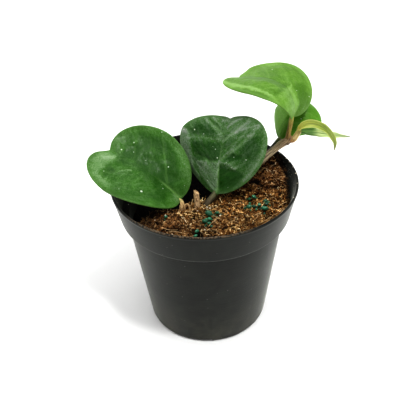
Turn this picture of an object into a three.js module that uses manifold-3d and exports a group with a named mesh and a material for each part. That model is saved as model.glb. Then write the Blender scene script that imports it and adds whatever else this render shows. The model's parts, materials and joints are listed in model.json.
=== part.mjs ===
// Potted hoya: two grown notched leaves, a young leafy shoot and a dry stub, rooted in a coir block
// that stands in a small black nursery pot. Millimetres, +Z up, origin at the centre of the pot base,
// the plant's front toward -Y.
import * as THREE from 'three';
import { mergeVertices } from 'three/addons/utils/BufferGeometryUtils.js';
import Module from 'manifold-3d';

const wasm = await Module();
wasm.setup();

// pot
const potHeight = 81.1;
const rimRadius = 45;
const collarTopRadius = 43.9;
const collarFootRadius = 41.9;
const collarFootZ = 64.5;
const bodyTopRadius = 38.9;
const baseRadius = 31.7;
const wallThickness = 1.2;
const floorThickness = 1.8;
const potSides = 72;
const drainCount = 6;
const drainFirstAngle = -38;
const archWidth = 12;
const archHeight = 1.3;
const drainHoleRadius = 3;
const drainHoleCircle = 21;

// growing medium
const mediumLevel = 74.5;
const hollowLevel = 58;
const blockRise = 2;
const blockSlope = 0.17;
const wallGapDepth = 9;
const fitGap = 0.3;
// back edge of the standing block as seen from above: y for each x, the hollow lies behind it
const edgeX = [-44, -33, -29.5, -24.7, -17, -9, -4, 1, 6, 10, 16, 22, 30, 44];
const edgeY = [-40, -27, -22.4, -15.8, -12.2, -10.4, -9, -7.4, -2, 4, 14, 22, 27, 24];

// leaves
const bladeThickness = 1.6;
const marginThickness = 0.9;
const marginRound = 0.2;
const acrossHalf = 7;
const alongSteps = [8, 7, 6];

// Flat half outline: widest point, lobe top, base direction and notch direction in radians.
// Bend: curl along the midrib (two terms), trough at the midrib, curl of each half, trough at the base.
const leafLeft = {
  base: [-11.4, -8.4, 74.8],
  turn: [82.2, 55.9, -24.8],
  length: 41.4,
  right: { width: 21.2, widthAt: 24.0, lobeAt: 6.2, lobe: 43.0, baseAngle: 1.75, notchAngle: 0.29 },
  left: { width: 22.4, widthAt: 26.5, lobeAt: 9.4, lobe: 46.3, baseAngle: 1.63, notchAngle: 0.47 },
  curl: [0.0368, -0.0011],
  trough: [0.18, 0.2],
  sideCurl: [0.0031, -0.0166],
};
const leafMiddle = {
  base: [5.3, -9.5, 78.4],
  turn: [-9.9, 57.8, -32.7],
  length: 36.8,
  right: { width: 24.5, widthAt: 25.6, lobeAt: 6.5, lobe: 37.7, baseAngle: 1.64, notchAngle: 0.4 },
  left: { width: 24.5, widthAt: 25.6, lobeAt: 6.5, lobe: 37.7, baseAngle: 1.64, notchAngle: 0.4 },
  curl: [0.0014, 0.0007],
  trough: [0.14, -0.42],
  sideCurl: [-0.0075, 0.0101],
};
const leafUpper = {
  base: [41.7, 9.4, 107.4],
  turn: [84.7, 115.5, -25.8],
  length: 39.3,
  right: { width: 19.5, widthAt: 22.0, lobeAt: 8.2, lobe: 38.5, baseAngle: 1.67, notchAngle: 0.51 },
  left: { width: 19.7, widthAt: 20.1, lobeAt: 9.1, lobe: 43.0, baseAngle: 1.62, notchAngle: 0.49 },
  curl: [0.1181, -0.0032],
  trough: [0.33, 0.12],
  sideCurl: [0.054, 0.0128],
};
const leafBack = {
  base: [37.3, 15.4, 92.1],
  turn: [-63.5, 72.7, 16.0],
  length: 27.6,
  right: { width: 16.1, widthAt: 19.5, lobeAt: 6.6, lobe: 29.9, baseAngle: 1.09, notchAngle: 0.4 },
  left: { width: 15.0, widthAt: 15.4, lobeAt: 7.0, lobe: 32.4, baseAngle: 1.66, notchAngle: 0.4 },
  curl: [0.0235, 0.003],
  trough: [-0.17, -0.29],
  sideCurl: [0.0116, 0.0457],
};

// stalks: centre points with radius
const stemPath = [
  [9.6, -2.6, 63, 1.3], [9.7, -2.5, 72, 1.35], [11.5, -2.2, 76.8, 1.35], [15.5, -1.4, 80, 1.25],
  [22, 0.9, 83.5, 1.2], [28.1, 3.9, 86.9, 1.6], [31, 5.3, 88.7, 1.25], [35, 7.4, 91.3, 1.15],
  [38.2, 9, 93.1, 1.3], [40.6, 10, 94.1, 1.85],
];
const leftStalk = [
  [-8.4, -13.6, 65, 1.1], [-8.5, -13.4, 72, 1.15], [-9.4, -11.8, 74.2, 1.2], [-11.4, -8.9, 74.3, 1.1],
  [-14.4, -8, 75.9, 0.6],
];
const middleStalk = [
  [-0.2, -13.8, 64, 1.25], [-0.1, -13.4, 72.4, 1.3], [1.4, -11.6, 74.8, 1.25], [4.2, -9.6, 76.9, 1.2],
  [5.6, -8.6, 78.4, 1.1], [6.5, -7.2, 81.2, 0.6],
];
const upperStalk = [
  [40.85, 10, 96.45, 1.05], [41.1, 9.9, 98.5, 1], [41.45, 9.85, 101, 0.95], [41.75, 9.7, 104.8, 0.95],
  [41.75, 9.6, 106.6, 0.9], [42.1, 9.8, 109, 0.5],
];
const backStalk = [
  [29.6, 7.5, 88.05, 0.5], [30.9, 9.2, 89.2, 0.55], [32.5, 11, 90.4, 0.55], [34.9, 13.5, 91.6, 0.6],
  [36.9, 15.5, 92, 0.75], [39, 16.9, 93.2, 0.5],
];
const shootPath = [
  [42.7, 9.2, 95.3, 1], [43.3, 9.05, 96.9, 1.2], [44.5, 8.6, 99.5, 1.1], [45.35, 8.25, 101.4, 0.85],
];
const stubPath = [
  [-3.8, -13.6, 64, 1.5], [-3.8, -13.4, 72, 1.5], [-3.8, -12.2, 77, 1.45], [-3.9, -10.4, 83.4, 1.4],
];
const stubCutCentre = [-3.9, -10.6, 80.9];
const stubCutTilt = 0.55;

// folded tip leaves: centre line with half width
const frontTip = [
  [45.9, 8.15, 102.5, 0.7], [47.4, 8, 104, 1.3], [49.7, 7.8, 104.8, 1.45], [52.5, 7.6, 104.5, 1.5],
  [55.5, 7.4, 103, 1.5], [58.4, 7, 100.8, 1.5], [60.6, 6.4, 97.9, 1.5], [62, 5.8, 94.9, 1.2], [62.3, 5.2, 91.4, 0.4],
];
const backTip = [
  [46.1, 9.9, 99, 0.6], [48.2, 11, 98.1, 1.2], [52.5, 11.2, 97.6, 1.7], [56, 11.4, 97.1, 1.8],
  [59.8, 11.6, 96.3, 1.6], [63, 11.8, 95.6, 1.1], [66.9, 12, 94.9, 0.8], [70.9, 12.2, 94.4, 0.35],
];

// slow-release granules: x, y, radius
const granules = [
  [1.7, -22.4, 1.6], [5.4, -20.9, 0.9], [1.9, -25.4, 0.9], [-0.4, -27.1, 1.05], [1.7, -28.2, 0.9],
  [-3.8, -33.4, 0.85], [-4.4, -35.6, 0.75], [-17.8, -22.8, 0.7], [23, -9.8, 0.95], [20.9, -10.4, 0.85],
  [20.2, -17.4, 1.1], [22.5, -16.9, 0.85], [25.3, -15.2, 0.9], [28.3, -12.6, 0.9], [28.8, -14.9, 0.8],
  [27.2, -18.4, 1.25],
];

const lerp = THREE.MathUtils.lerp;
const smooth = (value, low, high) => THREE.MathUtils.smoothstep(value, low, high);

function geometryOf(vertices, triangles) {
  const geometry = new THREE.BufferGeometry();
  geometry.setAttribute('position', new THREE.Float32BufferAttribute(vertices.flat(), 3));
  geometry.setIndex(triangles.flat());
  return geometry;
}

function bodyOf(geometry) {
  const bare = geometry.clone();
  bare.deleteAttribute('normal');
  bare.deleteAttribute('uv');
  const merged = mergeVertices(bare, 1e-4);
  return new wasm.Manifold(new wasm.Mesh({
    numProp: 3,
    vertProperties: new Float32Array(merged.attributes.position.array),
    triVerts: new Uint32Array(merged.index.array),
  }));
}

function nodeOf(name, body, color, roughness, metalness = 0) {
  const mesh = body.getMesh();
  const geometry = new THREE.BufferGeometry();
  geometry.setAttribute('position', new THREE.BufferAttribute(new Float32Array(mesh.vertProperties), 3));
  geometry.setIndex(new THREE.BufferAttribute(new Uint32Array(mesh.triVerts), 1));
  geometry.computeVertexNormals();
  const node = new THREE.Mesh(geometry, new THREE.MeshStandardMaterial({ color, roughness, metalness }));
  node.name = name;
  return node;
}

// Solid of revolution about Z from [radius, z] points that start and end on the axis.
function turned(profile, sides) {
  const lathe = new THREE.LatheGeometry(profile.map(([r, z]) => new THREE.Vector2(r, z)), sides);
  return bodyOf(lathe.rotateX(Math.PI / 2));
}

function bodyRadiusAt(z) {
  return lerp(baseRadius, bodyTopRadius, z / collarFootZ);
}

function collarRadiusAt(z) {
  return lerp(collarFootRadius, collarTopRadius, (z - collarFootZ) / (potHeight - 2.5 - collarFootZ));
}

// Inner face of the pot from the floor to the lip, moved inward by a clearance.
function innerProfile(clearance) {
  const inset = wallThickness + clearance;
  const foot = floorThickness + clearance;
  return [
    [bodyRadiusAt(foot) - inset - 0.8, foot],
    [bodyRadiusAt(foot + 0.8) - inset, foot + 0.8],
    [bodyRadiusAt(collarFootZ - 0.2) - inset, collarFootZ - 0.2 + clearance],
    [collarRadiusAt(collarFootZ + 0.8) - inset - 0.4, collarFootZ + 0.9 + clearance],
    [collarRadiusAt(collarFootZ + 1.8) - inset, collarFootZ + 1.8 + clearance],
    [collarRadiusAt(potHeight - 2) - inset, potHeight - 2 + clearance],
  ];
}

function makePot() {
  const outer = [
    [0, 0], [baseRadius - 0.8, 0], [baseRadius, 0.8], [bodyTopRadius, collarFootZ - 0.6],
    [collarFootRadius - 0.5, collarFootZ], [collarFootRadius, collarFootZ + 0.6],
    [collarTopRadius, potHeight - 2.6], [rimRadius - 0.35, potHeight - 1.8], [rimRadius, potHeight - 1],
    [rimRadius - 0.3, potHeight - 0.25], [rimRadius - 0.9, potHeight], [rimRadius - 1.7, potHeight - 0.3],
  ];
  let pot = turned([...outer, ...innerProfile(0).reverse(), [0, floorThickness]], potSides);
  for (let i = 0; i < drainCount; i += 1) {
    const angle = THREE.MathUtils.degToRad(drainFirstAngle + (360 / drainCount) * i);
    const arch = new THREE.BoxGeometry(5, archWidth, archHeight * 2).translate(baseRadius, 0, 0);
    const hole = new THREE.CylinderGeometry(drainHoleRadius, drainHoleRadius, 6, 20);
    hole.rotateX(Math.PI / 2).translate(drainHoleCircle, 0, 0);
    pot = pot.subtract(bodyOf(arch.rotateZ(angle))).subtract(bodyOf(hole.rotateZ(angle)));
  }
  return pot;
}

function edgeAt(x) {
  let i = 0;
  while (i < edgeX.length - 2 && x > edgeX[i + 1]) i += 1;
  return lerp(edgeY[i], edgeY[i + 1], THREE.MathUtils.clamp((x - edgeX[i]) / (edgeX[i + 1] - edgeX[i]), 0, 1));
}

// Top of the growing medium: a rough block with a raised right part, a gap at the right wall and a
// deep hollow behind and to the left of it.
function mediumHeight(x, y) {
  const r = Math.hypot(x, y);
  const dent = (cx, cy, depth, reach) => depth * Math.exp(-((x - cx) ** 2 + (y - cy) ** 2) / (2 * reach * reach));
  let top = mediumLevel + 0.5 * Math.sin(0.33 * x + 1) * Math.cos(0.29 * y) + 0.3 * Math.sin(0.8 * x - 0.6 * y);
  top -= 1.2 * smooth(r, 30, 39) * smooth(-y, 5, 13);
  top -= dent(-14, -13.5, 2.6, 4) + dent(4, -9, 1.2, 3);
  const climb = blockRise + blockSlope * THREE.MathUtils.clamp(y + 8, 0, 24);
  top += climb * smooth(x, 12, 20) * smooth(y, -9.5, -7.5);
  top -= wallGapDepth * smooth(x - 0.045 * y, 39.2, 40.2) * smooth(y, -9, -7);
  return lerp(top, hollowLevel, smooth(y - edgeAt(x), -0.8, 2.2));
}

// Everything above the medium, as a solid with the height field for its underside.
function airAbove(ringRadii, sectors, ceiling) {
  const vertices = [[0, 0, mediumHeight(0, 0)], [0, 0, ceiling]];
  const triangles = [];
  ringRadii.forEach((r) => {
    for (let s = 0; s < sectors; s += 1) {
      const a = (2 * Math.PI * s) / sectors;
      const x = r * Math.cos(a);
      const y = r * Math.sin(a);
      vertices.push([x, y, mediumHeight(x, y)]);
    }
  });
  const last = ringRadii.length - 1;
  const at = (ring, s) => 2 + ring * sectors + (s % sectors);
  for (let s = 0; s < sectors; s += 1) {
    const a = (2 * Math.PI * s) / sectors;
    vertices.push([ringRadii[last] * Math.cos(a), ringRadii[last] * Math.sin(a), ceiling]);
  }
  for (let s = 0; s < sectors; s += 1) {
    triangles.push([0, at(0, s + 1), at(0, s)]);
    for (let ring = 0; ring < last; ring += 1) {
      triangles.push([at(ring, s), at(ring, s + 1), at(ring + 1, s + 1)]);
      triangles.push([at(ring, s), at(ring + 1, s + 1), at(ring + 1, s)]);
    }
    triangles.push([at(last, s), at(last, s + 1), at(last + 1, s + 1)]);
    triangles.push([at(last, s), at(last + 1, s + 1), at(last + 1, s)]);
    triangles.push([1, at(last + 1, s), at(last + 1, s + 1)]);
  }
  return bodyOf(geometryOf(vertices, triangles));
}

function makeMedium(socketPaths) {
  const wall = innerProfile(fitGap);
  const core = turned([[0, floorThickness + fitGap], ...wall, [wall[5][0], potHeight + 2], [0, potHeight + 2]], potSides);
  const rings = [3, 6, 9, 12, 15, 18, 21, 24, 27, 30, 33, 36, 38.4, 39.6, 40.8, 42, 46];
  let medium = core.subtract(airAbove(rings, 60, 95));
  socketPaths.forEach((path) => {
    const grown = path.map(([x, y, z, r]) => [x, y, z, r + fitGap + 0.1]);
    grown[0][2] -= 0.6;
    medium = medium.subtract(sweep(grown, roundSection, 10));
  });
  return medium;
}

const roundSection = (angle, radius) => [radius * Math.cos(angle), radius * Math.sin(angle)];

// Folded young leaf: a thin section with both halves raised from the midrib.
function foldedSection(angle, halfWidth) {
  const u = halfWidth * Math.cos(angle);
  const thick = 0.42 + 0.1 * halfWidth;
  return [u, thick * Math.sin(angle) + 0.7 * Math.abs(u) - 0.25 * halfWidth];
}

// Tube along a smooth line through [x, y, z, size] points; section(angle, size) gives its outline.
function sweep(path, section, sides, stepsPerSpan = 3) {
  const curve = new THREE.CatmullRomCurve3(path.map(([x, y, z]) => new THREE.Vector3(x, y, z)), false, 'centripetal');
  const count = (path.length - 1) * stepsPerSpan;
  const vertices = [];
  const triangles = [];
  const side = new THREE.Vector3(0, 1, 0);
  for (let i = 0; i <= count; i += 1) {
    const place = (i / count) * (path.length - 1);
    const span = Math.min(Math.floor(place), path.length - 2);
    const size = lerp(path[span][3], path[span + 1][3], smooth(place - span, 0, 1));
    const centre = curve.getPoint(i / count);
    const along = curve.getTangent(i / count);
    side.addScaledVector(along, -side.dot(along)).normalize();
    const up = new THREE.Vector3().crossVectors(along, side);
    for (let s = 0; s < sides; s += 1) {
      const [u, v] = section((2 * Math.PI * s) / sides, size);
      vertices.push(centre.clone().addScaledVector(side, u).addScaledVector(up, v).toArray());
    }
  }
  const ends = [[curve.getPoint(0), curve.getTangent(0), -0.35 * path[0][3]],
    [curve.getPoint(1), curve.getTangent(1), 0.35 * path[path.length - 1][3]]];
  ends.forEach(([centre, along, reach]) => vertices.push(centre.addScaledVector(along, reach).toArray()));
  const at = (i, s) => i * sides + (s % sides);
  const first = (count + 1) * sides;
  for (let s = 0; s < sides; s += 1) {
    triangles.push([first, at(0, s + 1), at(0, s)]);
    triangles.push([first + 1, at(count, s), at(count, s + 1)]);
    for (let i = 0; i < count; i += 1) {
      triangles.push([at(i, s), at(i, s + 1), at(i + 1, s + 1)]);
      triangles.push([at(i, s), at(i + 1, s + 1), at(i + 1, s)]);
    }
  }
  return bodyOf(geometryOf(vertices, triangles));
}

function cubicPoints(p0, p1, p2, p3, steps) {
  const curve = new THREE.CubicBezierCurve(...[p0, p1, p2, p3].map(([x, y]) => new THREE.Vector2(x, y)));
  return curve.getPoints(steps);
}

// Right half of the flat outline from the base round the lobe to the notch.
function halfOutline(half, length) {
  const { width, widthAt, lobeAt, lobe, baseAngle, notchAngle } = half;
  const round = 0.55;
  const reach = 0.42 * widthAt;
  const toWidest = cubicPoints([0, 0], [reach * Math.sin(baseAngle), reach * Math.cos(baseAngle)],
    [width, 0.5 * widthAt], [width, widthAt], alongSteps[0]);
  const toLobe = cubicPoints([width, widthAt], [width, lerp(widthAt, lobe, round)],
    [lerp(lobeAt, width, round), lobe], [lobeAt, lobe], alongSteps[1]);
  const toNotch = cubicPoints([lobeAt, lobe], [lobeAt * (1 - round), lobe],
    [0.4 * lobeAt * Math.cos(notchAngle), length + 0.4 * lobeAt * Math.sin(notchAngle)], [0, length], alongSteps[2]);
  return [...toWidest, ...toLobe.slice(1), ...toNotch.slice(1)];
}

// Midrib line of a leaf in its own side view, sampled so that any length along it can be looked up.
function midribLine(leaf) {
  const [first, second] = leaf.curl;
  const samples = [{ y: 0, z: 0 }];
  const step = 0.25;
  const slope = (s) => -(first * s + (second * s * s) / 2);
  for (let s = step; s < leaf.length + 12; s += step) {
    const angle = (slope(s) + slope(s - step)) / 2;
    const before = samples[samples.length - 1];
    samples.push({ y: before.y + step * Math.cos(angle), z: before.z + step * Math.sin(angle) });
  }
  return (s) => {
    if (s <= 0) return { y: 0, z: 0, angle: slope(Math.max(s, 0)) };
    const place = s / step;
    const i = Math.min(Math.floor(place), samples.length - 2);
    const { y, z } = samples[i];
    const next = samples[i + 1];
    return { y: lerp(y, next.y, place - i), z: lerp(z, next.z, place - i), angle: slope(s) };
  };
}

function leafFrame(leaf) {
  const [yaw, pitch, roll] = leaf.turn.map(THREE.MathUtils.degToRad);
  const frame = new THREE.Matrix4().makeRotationZ(yaw);
  frame.multiply(new THREE.Matrix4().makeRotationX(pitch));
  frame.multiply(new THREE.Matrix4().makeRotationY(roll));
  return frame.setPosition(...leaf.base);
}

function bentPoint(leaf, midrib, frame, x, y) {
  const { y: alongY, z: alongZ, angle } = midrib(y);
  const curl = x < 0 ? leaf.sideCurl[0] : leaf.sideCurl[1];
  const trough = leaf.trough[0] + leaf.trough[1] * THREE.MathUtils.clamp(1 - y / 30, 0, 1);
  const end = trough - curl * Math.abs(x);
  const across = (Math.sign(x) * (Math.sin(trough) - Math.sin(end))) / curl;
  const raise = (Math.cos(end) - Math.cos(trough)) / curl;
  return new THREE.Vector3(across, alongY - raise * Math.sin(angle), alongZ + raise * Math.cos(angle)).applyMatrix4(frame);
}

// Blade as a closed shell: upper face, lower face and a rounded margin round the outline.
function makeBlade(leaf) {
  const right = halfOutline(leaf.right, leaf.length);
  const left = halfOutline(leaf.left, leaf.length);
  const steps = right.length - 1;
  const columns = 2 * acrossHalf;
  const midrib = midribLine(leaf);
  const frame = leafFrame(leaf);
  const flat = (i, j) => {
    const part = i / acrossHalf - 1;
    const edge = part < 0 ? left[j] : right[j];
    const rib = (leaf.length * j) / steps;
    return [part * edge.x, lerp(rib, edge.y, Math.abs(part))];
  };
  const grid = [];
  for (let i = 0; i <= columns; i += 1) {
    for (let j = 0; j <= steps; j += 1) grid.push(bentPoint(leaf, midrib, frame, ...flat(i, j)));
  }
  return closeBlade(grid, columns, steps);
}

function closeBlade(grid, columns, steps) {
  // base and notch are single points shared by all columns
  const at = (i, j) => (j === 0 || j === steps ? j : i * (steps + 1) + j);
  const faces = [];
  for (let i = 0; i < columns; i += 1) {
    for (let j = 0; j < steps; j += 1) {
      const quad = [at(i, j), at(i + 1, j), at(i + 1, j + 1), at(i, j + 1)];
      if (j > 0) faces.push([quad[0], quad[1], quad[2]]);
      if (j < steps - 1) faces.push([quad[0], quad[2], quad[3]]);
    }
  }
  const normals = faceNormals(grid, faces);
  const under = grid.map((p, k) => {
    const part = Math.abs(Math.floor(k / (steps + 1)) / acrossHalf - 1);
    const j = k % (steps + 1);
    const rim = j === 0 || j === steps ? 1 : part ** 3;
    return p.clone().addScaledVector(normals[k], -lerp(bladeThickness, marginThickness, rim));
  });
  const loop = [[0, 1]];
  for (let j = 1; j < steps; j += 1) loop.push([at(columns, j), at(columns - 1, j)]);
  loop.push([steps, at(acrossHalf, steps - 1)]);
  for (let j = steps - 1; j > 0; j -= 1) loop.push([at(0, j), at(1, j)]);
  loop[0][1] = at(acrossHalf, 1);
  const margin = loop.map(([edge, inner]) => {
    const out = grid[edge].clone().sub(grid[inner]).normalize();
    return grid[edge].clone().add(under[edge]).multiplyScalar(0.5).addScaledVector(out, marginRound);
  });
  const vertices = [...grid, ...under, ...margin].map((p) => p.toArray());
  const triangles = faces.flatMap(([a, b, c]) => [[a, b, c], [a + grid.length, c + grid.length, b + grid.length]]);
  loop.forEach(([p], k) => {
    const q = loop[(k + 1) % loop.length][0];
    const mp = 2 * grid.length + k;
    const mq = 2 * grid.length + ((k + 1) % loop.length);
    triangles.push([mp, mq, q], [mp, q, p]);
    triangles.push([p + grid.length, q + grid.length, mq], [p + grid.length, mq, mp]);
  });
  return bodyOf(geometryOf(...usedOnly(vertices, triangles)));
}

function faceNormals(points, faces) {
  const normals = points.map(() => new THREE.Vector3());
  faces.forEach(([a, b, c]) => {
    const n = points[b].clone().sub(points[a]).cross(points[c].clone().sub(points[a]));
    [a, b, c].forEach((k) => normals[k].add(n));
  });
  return normals.map((n) => n.normalize());
}

function usedOnly(vertices, triangles) {
  const order = new Map();
  triangles.flat().forEach((k) => {
    if (!order.has(k)) order.set(k, order.size);
  });
  const kept = [];
  order.forEach((place, k) => {
    kept[place] = vertices[k];
  });
  return [kept, triangles.map((t) => t.map((k) => order.get(k)))];
}

// Old stalk cut off askew, higher on its left side.
function makeStub() {
  const [x, y, z] = stubCutCentre;
  const cutter = new THREE.BoxGeometry(20, 20, 12).translate(0, 0, 6).rotateY(stubCutTilt).translate(x, y, z);
  return sweep(stubPath, roundSection, 10, 2).subtract(bodyOf(cutter));
}

function makeGranule([x, y, radius], index) {
  const shape = new THREE.IcosahedronGeometry(radius, 1);
  const position = shape.attributes.position;
  let ground = -Infinity;
  for (let a = 0; a < 8; a += 1) {
    const reach = radius + 0.6;
    ground = Math.max(ground, mediumHeight(x + reach * Math.cos(a * 0.785), y + reach * Math.sin(a * 0.785)));
  }
  for (let k = 0; k < position.count; k += 1) {
    const dir = new THREE.Vector3().fromBufferAttribute(position, k).normalize();
    const lump = radius * (1 + 0.08 * Math.sin(5 * dir.x + index) * Math.cos(4 * dir.y - index));
    position.setXYZ(k, dir.x * lump, dir.y * lump, dir.z * lump * 0.85);
  }
  return bodyOf(shape).translate([x, y, ground + radius * 0.93 + fitGap]);
}

function makePlant() {
  const plant = new THREE.Group();
  plant.name = 'potted_hoya';
  plant.add(nodeOf('pot', makePot(), 0x1d1f1e, 0.5));
  const medium = makeMedium([stemPath, leftStalk, middleStalk, stubPath]);
  plant.add(nodeOf('growing_medium', medium, 0x6b4628, 0.95));
  plant.add(nodeOf('vine_stem', sweep(stemPath, roundSection, 10), 0x6a5a48, 0.7));
  plant.add(nodeOf('dry_stub', makeStub(), 0xb08a5c, 0.85));
  const leaves = [['leaf_left', leafLeft, leftStalk, 0x2f6b2a], ['leaf_middle', leafMiddle, middleStalk, 0x24502c],
    ['leaf_upper', leafUpper, upperStalk, 0x6fae45], ['leaf_back', leafBack, backStalk, 0x4a9432]];
  leaves.forEach(([name, leaf, stalk, color]) => {
    plant.add(nodeOf(name, makeBlade(leaf).add(sweep(stalk, roundSection, 8, 2)), color, 0.4));
  });
  plant.add(nodeOf('shoot_tip', sweep(shootPath, roundSection, 8), 0xd08a55, 0.6));
  plant.add(nodeOf('tip_leaf_front', sweep(frontTip, foldedSection, 12, 2), 0xa9b944, 0.5));
  plant.add(nodeOf('tip_leaf_back', sweep(backTip, foldedSection, 12, 2), 0xc3cf86, 0.5));
  granules.forEach((granule, i) => {
    const name = `granule_${String(i + 1).padStart(2, '0')}`;
    plant.add(nodeOf(name, makeGranule(granule, i), 0x1f6b4c, 0.45));
  });
  return plant;
}

export default makePlant();
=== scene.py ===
import json
import math

import bpy
import numpy as np
from mathutils import Matrix, Vector, noise

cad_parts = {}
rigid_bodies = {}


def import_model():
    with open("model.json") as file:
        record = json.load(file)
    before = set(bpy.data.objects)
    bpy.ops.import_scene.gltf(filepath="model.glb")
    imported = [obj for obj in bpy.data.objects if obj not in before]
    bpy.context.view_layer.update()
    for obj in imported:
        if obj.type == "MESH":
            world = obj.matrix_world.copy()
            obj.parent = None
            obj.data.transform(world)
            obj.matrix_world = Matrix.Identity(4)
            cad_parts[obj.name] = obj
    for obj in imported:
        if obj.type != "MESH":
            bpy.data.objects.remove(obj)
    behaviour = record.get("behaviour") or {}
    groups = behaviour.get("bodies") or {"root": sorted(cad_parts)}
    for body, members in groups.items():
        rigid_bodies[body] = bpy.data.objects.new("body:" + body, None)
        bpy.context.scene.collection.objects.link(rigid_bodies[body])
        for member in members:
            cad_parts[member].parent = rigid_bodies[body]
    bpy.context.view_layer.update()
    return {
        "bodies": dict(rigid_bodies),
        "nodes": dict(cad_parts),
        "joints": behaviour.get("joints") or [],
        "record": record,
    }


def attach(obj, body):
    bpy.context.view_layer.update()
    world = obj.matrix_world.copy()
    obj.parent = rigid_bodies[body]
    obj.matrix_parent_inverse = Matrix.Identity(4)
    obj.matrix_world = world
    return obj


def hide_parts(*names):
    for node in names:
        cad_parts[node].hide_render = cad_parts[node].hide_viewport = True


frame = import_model()
mm = 0.001


class Wire:
    # an output socket; adding, multiplying and the like put a node on its board
    def __init__(self, board, socket):
        self.board, self.socket = board, socket

    def isVector(self):
        return self.socket.type in ("VECTOR", "RGBA")

    def __add__(self, other):
        return self.board.sum("ADD", self, other)

    def __sub__(self, other):
        return self.board.sum("SUBTRACT", self, other)

    def __rsub__(self, other):
        return self.board.sum("SUBTRACT", other, self)

    def __mul__(self, other):
        plain = isinstance(other, (int, float)) or (isinstance(other, Wire) and not other.isVector())
        if self.isVector() and plain:
            return self.board.node("ShaderNodeVectorMath", {"operation": "SCALE"}, {0: self, "Scale": other})
        return self.board.sum("MULTIPLY", self, other)

    def __truediv__(self, other):
        return self.board.sum("DIVIDE", self, other)

    def __pow__(self, power):
        return self.board.math("POWER", self, power)

    __radd__, __rmul__ = __add__, __mul__

    def size(self):
        return self.board.math("ABSOLUTE", self)

    def highest(self, other):
        return self.board.math("MAXIMUM", self, other)

    def lowest(self, other):
        return self.board.math("MINIMUM", self, other)

    def smooth(self, low, high):
        limits = {"Value": self, "From Min": low, "From Max": high}
        return self.board.node("ShaderNodeMapRange", {"interpolation_type": "SMOOTHSTEP"}, limits)

    def span(self, low, high):
        return self.board.node("ShaderNodeMapRange", {}, {"Value": self, "To Min": low, "To Max": high})

    def part(self, axis):
        return self.board.node("ShaderNodeSeparateXYZ", {}, {0: self}, give=axis)

    def length(self):
        return self.board.node("ShaderNodeVectorMath", {"operation": "LENGTH"}, {0: self}, give="Value")

    def reach(self):  # distance from the pot's axis
        return (self * (1, 1, 0)).length()

    def bearing(self):
        return self.board.math("ARCTAN2", self.part("Y"), self.part("X"))


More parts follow.
